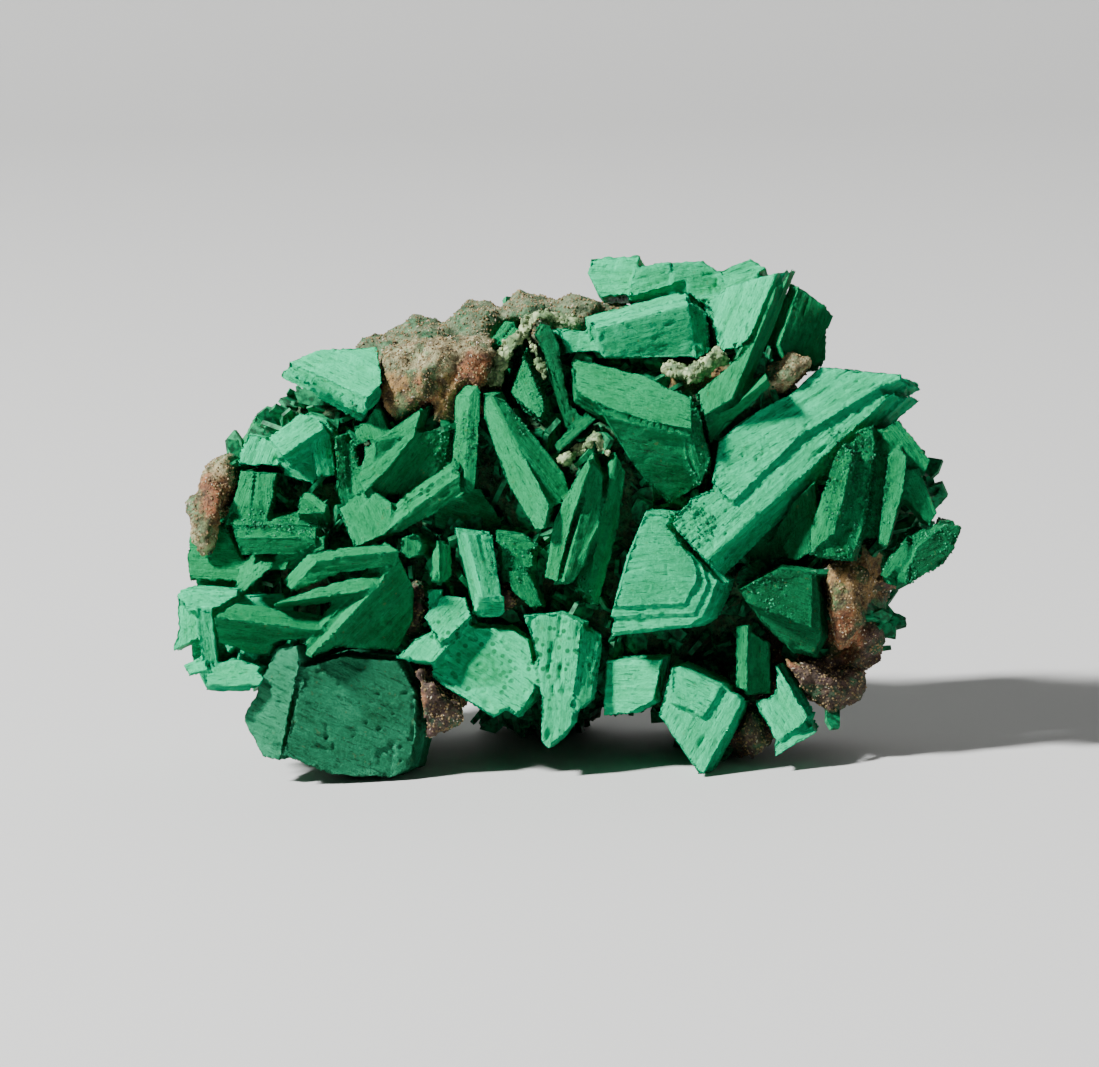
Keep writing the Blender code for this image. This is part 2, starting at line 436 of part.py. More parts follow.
# Lumps of the matrix: x, z and depth of the middle, then the radius, in drawn millimetres
MATRIX_CORE = [
    (-13.0, 25.0, 21.0, 14.0), (0.0, 24.0, 22.0, 15.0), (13.0, 24.0, 22.0, 14.0),
    (-24.0, 25.0, 20.0, 10.0), (23.0, 25.0, 19.0, 11.0), (-2.0, 36.0, 21.0, 10.0),
    (12.0, 36.0, 19.0, 9.0), (-14.0, 33.0, 18.0, 8.5), (-30.0, 24.0, 17.0, 6.4),
    (-22.0, 13.0, 19.0, 8.5), (-6.0, 15.5, 23.0, 9.5), (11.0, 15.0, 21.0, 8.5),
    (24.0, 15.0, 18.0, 7.5), (-24.0, 33.0, 16.0, 6.0), (30.0, 28.0, 17.0, 6.0),
    (-9.0, 22.0, 9.0, 4.0), (3.0, 33.0, 10.0, 5.0), (7.0, 18.0, 10.0, 5.0), (6.0, 43.0, 20.0, 6.0),
    (14.5, 44.0, 19.0, 4.6),
]
MATRIX_FEET = [
    (-22.0, 7.0, 18.0, 5.6), (15.5, 7.0, 16.0, 4.8), (-1.0, 9.0, 30.0, 5.2),
]
MATRIX_LUMPS = [
    # Left rim
    (-33.0, 29.0, 12.0, 4.0), (-34.6, 31.0, 9.4, 1.6), (-35.4, 29.2, 8.2, 2.2),
    (-36.6, 27.0, 6.2, 2.0), (-36.5, 24.8, 5.4, 1.8), (-36.4, 22.8, 5.4, 1.3),
    # Upper left, under the sparkling crust
    (-17.0, 40.2, 11.0, 3.4), (-13.5, 40.8, 10.6, 3.6), (-10.0, 41.4, 11.2, 3.3),
    (-7.6, 42.4, 12.0, 2.4), (-18.6, 38.0, 9.0, 2.2), (-15.2, 38.4, 8.8, 2.4),
    (-11.6, 38.6, 9.4, 2.3), (-19.0, 36.4, 8.2, 1.6), (-13.0, 38.0, 13.0, 6.0),
    # Back rim
    (-15.0, 42.8, 17.0, 3.6), (-9.0, 44.2, 19.0, 4.0), (-4.0, 45.0, 19.0, 3.9),
    (1.0, 45.4, 19.0, 3.6), (-19.0, 41.4, 15.0, 3.2),
    # Between the shield, the V and the slab
    (12.4, 40.6, 12.0, 2.4), (22.2, 40.4, 10.0, 2.4), (18.0, 38.0, 14.0, 5.0),
    # Bottom, between the front-left and the centre plates
    (-16.2, 11.0, 3.0, 1.8), (-14.8, 8.8, 2.9, 2.1), (-13.7, 6.3, 3.2, 1.9),
    (-11.8, 6.6, 3.6, 1.7), (-14.0, 9.0, 7.0, 3.4), (-14.0, 11.0, 12.0, 5.0),
    # Right, from the ochre lump down to the dark band
    (28.0, 20.0, 5.6, 2.4), (27.6, 17.4, 5.6, 2.1), (27.2, 14.5, 5.4, 1.8),
    (27.4, 18.0, 10.0, 3.2), (31.8, 19.8, 7.0, 1.5), (30.2, 13.8, 8.6, 1.9),
    (21.0, 11.3, 5.8, 1.5), (23.2, 10.3, 5.8, 1.7), (25.6, 9.6, 6.4, 1.8),
    (28.2, 9.4, 7.6, 1.7), (26.0, 7.4, 7.0, 1.4), (25.0, 11.0, 11.0, 3.6),
    (17.9, 5.6, 5.2, 1.7), (18.3, 3.6, 5.4, 1.6), (17.5, 6.0, 10.0, 3.6),
    (19.3, 14.3, 5.0, 1.1), (20.0, 29.0, 13.0, 5.0),
    # Small patches at the centre
    (-16.4, 16.8, 3.4, 1.3), (-15.0, 17.0, 7.0, 3.2), (-6.4, 18.8, 5.0, 1.6), (-6.4, 19.0, 9.0, 3.0),
]
PALE_CRUST = [
    (-7.7, 38.8, 10.2, 1.0), (-7.5, 40.3, 10.6, 1.1), (-7.0, 41.8, 11.0, 1.1),
    (-6.1, 43.1, 11.2, 1.0), (-4.9, 44.2, 11.6, 1.0), (-4.4, 45.4, 12.2, 1.0),
    (-3.5, 46.2, 12.6, 0.9), (-3.7, 44.6, 11.4, 0.8),
    (-3.3, 43.2, 10.6, 0.7), (-2.8, 41.7, 10.2, 0.7), (-2.4, 40.3, 9.8, 0.7), (-2.0, 38.8, 9.4, 0.6),
    (-2.6, 46.0, 12.4, 1.0), (-1.2, 46.0, 12.8, 1.0), (0.3, 45.6, 12.8, 1.0),
]
CENTRE_NODULES = [
    (-0.4, 32.1, 5.0, 0.9), (0.8, 33.0, 6.0, 0.9), (2.5, 33.6, 5.6, 1.1),
    (3.8, 33.4, 6.0, 0.9), (4.7, 32.3, 5.0, 1.1),
]
UPPER_NODULES = [
    (9.9, 41.4, 9.8, 0.9), (11.0, 40.9, 9.4, 1.0), (12.4, 40.6, 9.0, 1.1),
    (13.7, 41.3, 9.2, 1.0), (14.9, 42.3, 9.6, 1.0),
]
LUMP_NOISE = 0.0007
LUMP_SCALE = 380.0
CORE_VOXEL = 0.0012
LUMP_VOXEL = 0.0006
CRUST_VOXEL = 0.00028
CORE_TRIANGLES = 300
LUMP_TRIANGLES = 760
MATRIX_TRIANGLES = 3500
MATRIX_VOXEL = 0.00033
CRUST_TRIANGLES = 100
CRUST_ROOM = 0.75


def sight_axes():
    """Right, up and forward of the front view, in the world."""
    up = Vector((0.0, math.sin(VIEW_TILT), math.cos(VIEW_TILT)))
    forward = Vector((0.0, math.cos(VIEW_TILT), -math.sin(VIEW_TILT)))
    right = Vector((1.0, 0.0, 0.0))
    rolled_right = math.cos(VIEW_ROLL) * right - math.sin(VIEW_ROLL) * up
    rolled_up = math.sin(VIEW_ROLL) * right + math.cos(VIEW_ROLL) * up
    return rolled_right, rolled_up, forward


RIGHT, UP, FORWARD = sight_axes()
SIGHT_HEIGHT = DRAWN_CENTRE[1] * UNIT * math.cos(VIEW_TILT)


def place(x, z, depth):
    """The world point drawn at x, z millimetres that lies depth millimetres back."""
    scale = UNIT * (VIEW_DISTANCE + depth * UNIT) / VIEW_DISTANCE
    across = RIGHT * ((x - DRAWN_CENTRE[0]) * scale)
    rise = UP * ((z - DRAWN_CENTRE[1]) * scale)
    middle = Vector((DRAWN_CENTRE[0] * UNIT, 0.0, SIGHT_HEIGHT))
    point = middle + across + rise + FORWARD * (depth * UNIT)
    return point - Vector((BOX_MIDDLE[0], BOX_MIDDLE[1], 0.0))


def signed_area(points):
    """Area of an outline, positive when it runs anticlockwise."""
    total = 0.0
    for (x0, z0), (x1, z1) in zip(points, points[1:] + points[:1]):
        total += x0 * z1 - x1 * z0
    return total / 2


def inset(points, shifts):
    """The outline with each edge moved inwards by its own shift."""
    turn = 1.0 if signed_area(points) > 0 else -1.0
    lines = []
    for (x0, z0), (x1, z1), shift in zip(points, points[1:] + points[:1], shifts):
        length = math.hypot(x1 - x0, z1 - z0)
        nx, nz = -(z1 - z0) / length * turn, (x1 - x0) / length * turn
        lines.append((x0 + nx * shift, z0 + nz * shift, x1 - x0, z1 - z0))
    moved = []
    for i, (x1, z1, dx1, dz1) in enumerate(lines):
        x0, z0, dx0, dz0 = lines[i - 1]
        cross = dx0 * dz1 - dz0 * dx1
        if abs(cross) < 0.05 * math.hypot(dx0, dz0) * math.hypot(dx1, dz1):
            moved.append((x1, z1))
            continue
        t = ((x1 - x0) * dz1 - (z1 - z0) * dx1) / cross
        moved.append((x0 + dx0 * t, z0 + dz0 * t))
    return moved


def lay_ring(one, outline, cut):
    """The world points of a blade's outline at a share of the way along its sweep."""
    mid_x = sum(p[0] for p in one.outline) / len(one.outline)
    mid_z = sum(p[1] for p in one.outline) / len(one.outline)
    narrow = 1.0 - one.taper * cut
    points = []
    for x, z in outline:
        depth = one.depth + one.lean[0] * (x - mid_x) + one.lean[1] * (z - mid_z)
        x_back = mid_x + (x - mid_x) * narrow + cut * one.sweep[0]
        z_back = mid_z + (z - mid_z) * narrow + cut * one.sweep[1]
        points.append(place(x_back, z_back, depth + cut * one.sweep[2]))
    return points


def blade_rings(one, dice):
    """The rings of points that a blade's surface runs through, from its near face back."""
    cuts = [0.0]
    for leaf in range(1, one.leaves):
        cuts.append((leaf + dice.uniform(-0.3, 0.1)) / one.leaves)
    cuts.append(1.0)
    rings = []
    for leaf in range(one.leaves):
        if leaf % 2 == 0 and one.leaves > 1:
            shifts = [dice.uniform(0.3, 1.0) * one.step for _ in one.outline]
        else:
            shifts = [dice.uniform(0.0, 0.15) * one.step for _ in one.outline]
        ring = inset(one.outline, shifts)
        rings += [lay_ring(one, ring, cut) for cut in cuts[leaf:leaf + 2]]
    return rings


def room_rings(one):
    """Two rings that outline a blade with ROOM all round."""
    room = ROOM / UNIT
    wide = inset(one.outline, [-room for _ in one.outline])
    face = Vector((one.lean[0], one.lean[1], -1.0))
    thickness = abs(face.dot(Vector(one.sweep))) / face.length
    extra = room / thickness
    return [lay_ring(one, wide, -extra), lay_ring(one, wide, 1.0 + extra)]


def solid_from_rings(name, rings):
    """A closed solid whose side runs through the rings, with flat ends."""
    shape = bmesh.new()
    layers = [[shape.verts.new(p) for p in ring] for ring in rings]
    count = len(rings[0])
    for near, far in zip(layers, layers[1:]):
        for i in range(count):
            j = (i + 1) % count
            shape.faces.new((near[i], near[j], far[j], far[i]))
    shape.faces.new(list(reversed(layers[0])))
    shape.faces.new(layers[-1])
    bmesh.ops.recalc_face_normals(shape, faces=shape.faces)
    return object_from(name, shape)


def object_from(name, shape):
    """An object that holds a bmesh shape, which is freed."""
    bmesh.ops.triangulate(shape, faces=shape.faces)
    mesh = bpy.data.meshes.new(name)
    shape.to_mesh(mesh)
    shape.free()
    made = bpy.data.objects.new(name, mesh)
    bpy.context.scene.collection.objects.link(made)
    return made


def remove_objects(objects):
    """Take helper objects out of the scene."""
    for one in objects:
        bpy.data.objects.remove(one)


def combine(target, operation, others):
    """Apply one exact Boolean of several solids to the target and remove those solids."""
    if not others:
        return
    helpers = bpy.data.collections.new("helpers")
    for one in others:
        helpers.objects.link(one)
    cut = target.modifiers.new("cut", "BOOLEAN")
    cut.operation = operation
    cut.operand_type = "COLLECTION"
    cut.collection = helpers
    bpy.context.view_layer.update()
    graph = bpy.context.evaluated_depsgraph_get()
    target_mesh = bpy.data.meshes.new_from_object(target.evaluated_get(graph))
    target.modifiers.remove(cut)
    target.data = target_mesh
    remove_objects(others)
    bpy.data.collections.remove(helpers)


def islands(shape):
    """The separate bodies of a bmesh, as lists of faces."""
    found = []
    seen = set()
    for start in shape.faces:
        if start in seen:
            continue
        body = []
        waiting = [start]
        seen.add(start)
        while waiting:
            face = waiting.pop()
            body.append(face)
            for edge in face.edges:
                for near in edge.link_faces:
                    if near not in seen:
                        seen.add(near)
                        waiting.append(near)
        found.append(body)
    return found


def body_volume(faces):
    """The volume inside one closed body."""
    total = 0.0
    for face in faces:
        corners = [v.co for v in face.verts]
        for b, c in zip(corners[1:], corners[2:]):
            total += corners[0].dot(b.cross(c)) / 6
    return total


def keep_largest(target):
    """Clean a cut solid and keep its largest body."""
    shape = bmesh.new()
    shape.from_mesh(target.data)
    bmesh.ops.remove_doubles(shape, verts=shape.verts, dist=2e-6)
    bmesh.ops.dissolve_degenerate(shape, edges=shape.edges, dist=2e-6)
    bmesh.ops.dissolve_limit(shape, angle_limit=FLAT, verts=shape.verts, edges=shape.edges)
    bmesh.ops.triangulate(shape, faces=shape.faces)
    bodies = sorted(islands(shape), key=body_volume)
    spare = [face for body in bodies[:-1] for face in body]
    bmesh.ops.delete(shape, geom=spare, context="FACES")
    loose = [v for v in shape.verts if not v.link_faces]
    bmesh.ops.delete(shape, geom=loose, context="VERTS")
    shape.to_mesh(target.data)
    shape.free()


def box_of(points):
    """Lowest and highest corner of some points."""
    low = Vector((min(p[i] for p in points) for i in range(3)))
    high = Vector((max(p[i] for p in points) for i in range(3)))
    return low, high


def boxes_meet(a, b):
    """True where two boxes overlap."""
    return all(a[0][i] <= b[1][i] and b[0][i] <= a[1][i] for i in range(3))


def ground():
    """The space below the surface that the specimen rests on, as a cutter."""
    shape = bmesh.new()
    bmesh.ops.create_cube(shape, size=1.0)
    bmesh.ops.scale(shape, vec=(0.3, 0.3, 0.05), verts=shape.verts)
    bmesh.ops.translate(shape, vec=(0.0, 0.0, -0.025), verts=shape.verts)
    return object_from("ground", shape)


def finish(target, colour):
    """Give a finished solid its material."""
    tint, roughness = colour
    look = bpy.data.materials.new(target.name)
    look.use_nodes = True
    shader = look.node_tree.nodes["Principled BSDF"]
    shader.inputs["Base Color"].default_value = tint
    shader.inputs["Roughness"].default_value = roughness
    shader.inputs["Metallic"].default_value = 0.0
    target.data.materials.clear()
    target.data.materials.append(look)


def sound(mesh):
    """True where a mesh is closed and doesn't run through itself."""
    shape = bmesh.new()
    shape.from_mesh(mesh)
    closed = all(len(edge.link_faces) == 2 for edge in shape.edges)
    tree = BVHTree.FromBMesh(shape)
    shape.faces.ensure_lookup_table()
    crossings = 0
    for a, b in tree.overlap(tree):
        corners = set(shape.faces[a].verts)
        if a < b and corners.isdisjoint(shape.faces[b].verts):
            crossings += 1
    shape.free()
    return closed and crossings == 0


def joined_blades(name, rings, taken):
    """One solid of the blades that these rings outline, clear of the blades already there."""
    solids = [solid_from_rings(name, one) for one in rings]
    target = solids[0]
    target.name = name
    combine(target, "UNION", solids[1:])
    clear_of_blades(target, taken)
    return target


def grown_blades(name, draw_blades, taken):
    """One sound solid of blades that grew into each other, drawn again until it is sound."""
    while True:
        rings, rooms = draw_blades()
        target = joined_blades(name, rings, taken)
        if sound(target.data):
            break
        remove_objects([target])
    taken.extend(rooms)
    target.name = name
    return target


def front_cluster(blades, dice):
    """The rings and rooms of a front cluster's blades."""
    return [blade_rings(one, dice) for one in blades], [room_rings(one) for one in blades]


def voxel_body(target, voxel, triangles, wander):
    """Turn overlapping lumps into one closed skin of about so many triangles."""
    skin = target.modifiers.new("skin", "REMESH")
    skin.mode = "VOXEL"
    skin.voxel_size = voxel
    bake_modifiers(target)
    for vertex in target.data.vertices:
        spot = vertex.co * LUMP_SCALE
        swell = noise.noise(spot) + 0.5 * noise.noise(spot * 2.3)
        vertex.co += vertex.normal * (swell * wander)
    thin_out(target, triangles)


def thin_out(target, triangles):
    """Merge the smallest faces of a mesh until about so many triangles are left."""
    found = sum(len(face.vertices) - 2 for face in target.data.polygons)
    thin = target.modifiers.new("thin", "DECIMATE")
    thin.ratio = min(1.0, triangles / found)
    bake_modifiers(target)


def bake_modifiers(target):
    """Put the result of the modifiers into the mesh and clear them."""
    bpy.context.view_layer.update()
    graph = bpy.context.evaluated_depsgraph_get()
    mesh = bpy.data.meshes.new_from_object(target.evaluated_get(graph))
    target.modifiers.clear()
    target.data = mesh


def lumpy_body(name, lumps, voxel, triangles):
    """One solid from overlapping round lumps."""
    shape = bmesh.new()
    for x, z, depth, radius in lumps:
        ball = bmesh.ops.create_icosphere(shape, subdivisions=3, radius=radius * UNIT)
        bmesh.ops.translate(shape, vec=place(x, z, depth), verts=ball["verts"])
    target = object_from(name, shape)
    voxel_body(target, voxel, triangles, min(LUMP_NOISE, voxel))
    return target


def clear_of_blades(target, taken):
    """Cut the room of every blade already there, and the ground, out of a solid."""
    box = box_of([v.co for v in target.data.vertices])
    cutters = []
    for rings in taken:
        if boxes_meet(box, box_of(rings[0] + rings[1])):
            cutters.append(solid_from_rings("room", rings))
    combine(target, "DIFFERENCE", cutters)
    if box[0].z < 0:
        combine(target, "DIFFERENCE", [ground()])
    keep_largest(target)


def chisel_outline(length, width, dice):
    """A tabular blade's face: long sides, a root end and a bevelled tip."""
    half = width / 2
    cut_a = dice.uniform(0.2, 0.5) * width
    cut_b = dice.uniform(0.1, 0.4) * width
    return [(0.0, -half), (length - cut_a, -half), (length, -half + cut_a),
            (length, half - cut_b), (length - cut_b, half), (0.0, half * 0.9)]


def lay_hidden(middle, along, across, outline, level):
    """An outline laid in the plane of along and across, raised to a level."""
    normal = along.cross(across)
    return [middle + along * u + across * v + normal * level for u, v in outline]


def hidden_cluster(index, dice):
    """The rings and rooms of two crossed blades on the sides, the top or the back."""
    share = (index + 0.5) / HIDDEN_COUNT
    turn = index * math.pi * (3 - math.sqrt(5))
    out_y = 1.0 - HIDDEN_REACH * share
    reach = math.sqrt(1.0 - out_y * out_y)
    outward = Vector((math.cos(turn) * reach, out_y, math.sin(turn) * reach))
    middle = Vector(DOME_MIDDLE)
    for i in range(3):
        middle[i] += outward[i] * DOME_RADII[i]
    rings = []
    rooms = []
    for _ in range(2):
        wander = Vector((dice.uniform(-1, 1), dice.uniform(-1, 1), dice.uniform(-1, 1)))
        along = (outward + 0.6 * wander).normalized()
        across = along.cross(wander + Vector((0.3, 0.2, 0.9))).normalized()
        length = dice.uniform(*HIDDEN_LENGTH)
        thickness = dice.uniform(*HIDDEN_THICKNESS)
        outline = chisel_outline(length, dice.uniform(*HIDDEN_WIDTH), dice)
        root = middle - along * (length * 0.6)
        rings.append([lay_hidden(root, along, across, outline, 0.0),
                      lay_hidden(root, along, across, outline, thickness)])
        wide = inset(outline, [-ROOM for _ in outline])
        rooms.append([lay_hidden(root, along, across, wide, -ROOM),
                      lay_hidden(root, along, across, wide, thickness + ROOM)])
    return rings, rooms


def lumpy_matrix(taken, crust_rooms):
    """The matrix: a coarse core, its feet and the lumps that show, clear of all else."""
    matrix = lumpy_body("matrix", MATRIX_CORE + MATRIX_FEET, CORE_VOXEL, CORE_TRIANGLES)
    lumps = lumpy_body("lumps", MATRIX_LUMPS, LUMP_VOXEL, LUMP_TRIANGLES)
    combine(matrix, "UNION", [lumps])
    combine(matrix, "DIFFERENCE", [solid_from_rings("room", rings) for rings in taken])
    combine(matrix, "DIFFERENCE", crust_rooms)
    keep_largest(matrix)
    skin = matrix.modifiers.new("skin", "REMESH")
    skin.mode = "VOXEL"
    skin.voxel_size = MATRIX_VOXEL
    bake_modifiers(matrix)
    whole = matrix.data
    step = 0
    while step == 0 or not sound(matrix.data):
        matrix.data = whole.copy()
        thin_out(matrix, MATRIX_TRIANGLES * (1.0 + 0.02 * step))
        combine(matrix, "DIFFERENCE", [ground()])
        keep_largest(matrix)
        step += 1
    return matrix


def build():
    """Model every solid of the specimen."""
    for one in list(bpy.data.objects):
        bpy.data.objects.remove(one)
    dice = random.Random(11)
    taken = []
    for name, blades, colour in BLADE_CLUSTERS:
        finish(grown_blades(name, lambda: front_cluster(blades, dice), taken), colour)
    for index in range(HIDDEN_COUNT):
        name = "rear_blades_%02d" % (index + 1)
        finish(grown_blades(name, lambda: hidden_cluster(index, dice), taken), GREEN)
    crusts = (("pale_crust", PALE_CRUST), ("centre_nodules", CENTRE_NODULES),
              ("upper_nodules", UPPER_NODULES))
    for name, lumps in crusts:
        crust = lumpy_body(name, lumps, CRUST_VOXEL, CRUST_TRIANGLES)
        clear_of_blades(crust, taken)
        finish(crust, PALE)
    # The matrix keeps clear of the crusts by a slightly larger copy of each
    rooms = [lumpy_body("room", [(x, z, d, r + CRUST_ROOM) for x, z, d, r in lumps],
                        CRUST_VOXEL * 2, CRUST_TRIANGLES) for _, lumps in crusts]
    finish(lumpy_matrix(taken, rooms), BROWN)


build()
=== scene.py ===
"""Malachite after barite: the finished specimen, its studio and its camera.

Each solid of the frame is skinned with a fine mesh that follows its flat faces. The skin is then
weathered along the fibres of each face: ledges, striations, pits and crumbled edges. The matrix is
roughened and carries grains of limonite. Small blades and drusy malachite grow in its hollows, and
drusy malachite where the large blades are crusted.
"""
import json
import math

import bmesh
import bpy
import numpy as np
from mathutils import Matrix, Vector
from mathutils.bvhtree import BVHTree
from mathutils.kdtree import KDTree


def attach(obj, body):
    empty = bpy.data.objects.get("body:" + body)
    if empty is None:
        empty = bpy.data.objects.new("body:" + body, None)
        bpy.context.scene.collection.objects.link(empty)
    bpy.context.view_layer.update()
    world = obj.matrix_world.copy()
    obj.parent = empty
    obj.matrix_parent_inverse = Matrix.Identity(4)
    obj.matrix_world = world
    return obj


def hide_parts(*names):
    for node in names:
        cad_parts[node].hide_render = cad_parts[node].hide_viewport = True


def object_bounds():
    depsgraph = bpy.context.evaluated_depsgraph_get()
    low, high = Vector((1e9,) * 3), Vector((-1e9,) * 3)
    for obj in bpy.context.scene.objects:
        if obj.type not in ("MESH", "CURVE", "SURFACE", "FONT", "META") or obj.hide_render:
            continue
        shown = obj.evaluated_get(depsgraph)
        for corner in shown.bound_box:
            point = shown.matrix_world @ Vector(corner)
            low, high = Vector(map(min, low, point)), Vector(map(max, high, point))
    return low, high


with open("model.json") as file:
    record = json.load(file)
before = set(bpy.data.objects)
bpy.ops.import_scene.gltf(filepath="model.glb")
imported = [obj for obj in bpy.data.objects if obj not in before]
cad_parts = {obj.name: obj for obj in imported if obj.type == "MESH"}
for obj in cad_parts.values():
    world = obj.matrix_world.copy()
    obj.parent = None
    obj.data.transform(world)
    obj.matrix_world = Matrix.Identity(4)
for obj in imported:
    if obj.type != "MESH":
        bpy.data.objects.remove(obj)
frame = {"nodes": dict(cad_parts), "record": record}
CAD_LOW, CAD_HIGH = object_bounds()
MM = 0.001

# The front view: width in metres, and its centre, tilt, roll and distance as the part has them
SPECIMEN_WIDTH = 0.080
DRAWN_WIDTH = 79.5
DRAWN_CENTRE = (-2.05, 24.65)
VIEW_DISTANCE = 0.600
VIEW_TILT = math.radians(8.0)
VIEW_ROLL = math.radians(1.2)
BOX_MIDDLE = (-0.0002, 0.0201)
PICTURE_WIDTH = 109.9
UNIT = SPECIMEN_WIDTH / DRAWN_WIDTH


def sight_axes():
    """Right, up and forward of the front view, in the world."""
    up = Vector((0.0, math.sin(VIEW_TILT), math.cos(VIEW_TILT)))
    forward = Vector((0.0, math.cos(VIEW_TILT), -math.sin(VIEW_TILT)))
    right = Vector((1.0, 0.0, 0.0))
    rolled_right = math.cos(VIEW_ROLL) * right - math.sin(VIEW_ROLL) * up
    rolled_up = math.sin(VIEW_ROLL) * right + math.cos(VIEW_ROLL) * up
    return rolled_right, rolled_up, forward


RIGHT, UP, FORWARD = sight_axes()
SIGHT_MIDDLE = Vector((DRAWN_CENTRE[0] * UNIT - BOX_MIDDLE[0], -BOX_MIDDLE[1],
                       DRAWN_CENTRE[1] * UNIT * math.cos(VIEW_TILT)))


def drawn(points):
    """World points as columns x, z and depth of the front view, in drawn millimetres."""
    offset = points - np.array(SIGHT_MIDDLE)
    depth = offset @ np.array(FORWARD)
    scale = UNIT * (VIEW_DISTANCE + depth) / VIEW_DISTANCE
    x = DRAWN_CENTRE[0] + offset @ np.array(RIGHT) / scale
    z = DRAWN_CENTRE[1] + offset @ np.array(UP) / scale
    return np.stack([x, z, depth / UNIT], axis=1)


def world_spot(x, z, depth):
    """The world point drawn at x, z millimetres that lies depth millimetres back."""
    scale = UNIT * (VIEW_DISTANCE + depth * UNIT) / VIEW_DISTANCE
    return (SIGHT_MIDDLE + RIGHT * ((x - DRAWN_CENTRE[0]) * scale)
            + UP * ((z - DRAWN_CENTRE[1]) * scale) + FORWARD * (depth * UNIT))


# The oval of clear green on the left centre plate: middle x, z, half width, half height, and how far
# behind the foremost plate it may lie
GREEN_OVAL = (-9.0, 11.3, 3.4, 2.2)
OVAL_DEPTH = 8.0

# Zones of the front view, in drawn millimetres: x, z of the middle, half width, half height
CRUSTED_ZONES = [
    (-28.8, 26.0, 5.6, 1.8), (27.0, 30.0, 2.0, 4.8), (29.4, 28.5, 1.6, 7.0), (25.8, 22.6, 2.2, 1.6),
    (13.0, 33.0, 1.4, 4.6), (13.2, 45.0, 1.3, 3.4), (-4.2, 39.0, 2.2, 4.2), (12.0, 25.2, 2.6, 2.6),
    (-12.0, 33.6, 3.0, 3.0), (-22.0, 33.5, 2.4, 4.0), (31.0, 30.0, 1.2, 4.0), (1.6, 18.6, 2.6, 1.6),
    (-6.0, 22.6, 3.0, 2.6), (30.6, 22.0, 2.2, 1.8), (20.6, 18.5, 2.2, 2.2), (36.6, 22.4, 3.6, 3.4),
]
SPOTTED_ZONES = [
    (-9.0, 11.2, 3.6, 3.2), (-2.0, 11.8, 2.6, 4.8), (1.6, 11.6, 2.0, 4.6), (-15.0, 28.0, 2.4, 2.0),
    (-12.2, 14.6, 2.4, 1.6),
]
OCHRE_ZONES = [
    (27.9, 20.0, 3.2, 3.2), (-13.5, 39.6, 6.4, 3.4), (12.6, 40.8, 3.4, 2.2),
    (-18.8, 37.0, 2.0, 2.4),
]
RUST_ZONES = [
    (-9.0, 41.2, 2.4, 1.6), (27.4, 14.6, 1.9, 2.6), (-35.6, 27.6, 2.0, 3.0), (12.8, 40.8, 1.4, 1.0),
    (-14.6, 38.8, 1.6, 1.2), (-15.6, 8.0, 1.4, 1.6), (21.6, 12.2, 1.6, 1.0),
]
CREAM_ZONES = [
    (-35.4, 30.0, 2.2, 3.4), (-36.8, 25.6, 1.8, 3.6), (-14.0, 42.4, 5.0, 1.8),
    (22.4, 40.6, 2.2, 2.0), (-38.4, 15.4, 1.6, 3.2), (-9.6, 42.9, 3.0, 1.4),
]
PLUM_ZONES = [
    (-14.0, 8.4, 4.6, 5.2), (24.6, 9.8, 6.4, 3.4), (18.1, 4.6, 2.4, 3.2), (-16.0, 17.0, 2.0, 2.2),
    (-6.4, 18.6, 1.4, 1.6), (32.2, 19.6, 1.8, 1.8), (20.2, 14.6, 2.2, 1.6), (30.0, 13.4, 2.4, 2.0),
]
GREY_RIM_ZONES = [(-4.0, 46.4, 13.0, 3.4), (-18.0, 43.0, 4.0, 2.4)]


# Helpers for the skins: a lattice noise over millimetres, and arrays in and out of meshes
def hashed(cells, seed):
    """A repeatable number from -1 to 1 for each integer cell."""
    mixed = (cells[:, 0] * 73856093) ^ (cells[:, 1] * 19349663) ^ (cells[:, 2] * 83492791)
    mixed = (mixed + seed * 2654435761) & 0xFFFFFFFF
    mixed = ((mixed ^ (mixed >> 15)) * 2246822519) & 0xFFFFFFFF
    mixed = ((mixed ^ (mixed >> 13)) * 3266489917) & 0xFFFFFFFF
    return ((mixed ^ (mixed >> 16)) & 0xFFFFFF) / float(0x7FFFFF) - 1.0


def wave_noise(places, seed):
    """Smooth noise from -1 to 1 at rows of three coordinates."""
    base = np.floor(places).astype(np.int64)
    part = places - base
    part = part * part * (3.0 - 2.0 * part)
    total = np.zeros(len(places))
    for corner in range(8):
        step = np.array([corner & 1, (corner >> 1) & 1, (corner >> 2) & 1])
        weight = np.prod(np.where(step == 1, part, 1.0 - part), axis=1)
        total += weight * hashed(base + step, seed)
    return total


def rough_noise(places, seed, octaves=3):
    """Sum of finer and finer noise, from about -1 to 1."""
    total = np.zeros(len(places))
    for octave in range(octaves):
        total += wave_noise(places * 2.0 ** octave, seed + octave) / 1.7 ** octave
    return total / 1.6


def zone_share(places, zones, seed, ragged=0.35):
    """1 inside the zones of the front view, 0 outside, with a ragged border."""
    share = np.zeros(len(places))
    wander = ragged * rough_noise(places * 0.9, seed)
    for x, z, half_x, half_z in zones:
        away = np.hypot((places[:, 0] - x) / half_x, (places[:, 1] - z) / half_z)
        share = np.maximum(share, np.clip((1.15 + wander - away) / 0.3, 0.0, 1.0))
    return share


def mesh_points(mesh):
    """The vertices of a mesh as rows."""
    points = np.empty(len(mesh.vertices) * 3)
    mesh.vertices.foreach_get("co", points)
    return points.reshape(-1, 3)


def mesh_normals(mesh):
    """The vertex normals of a mesh as rows."""
    normals = np.empty(len(mesh.vertices) * 3)
    mesh.vertex_normals.foreach_get("vector", normals)
    return normals.reshape(-1, 3)


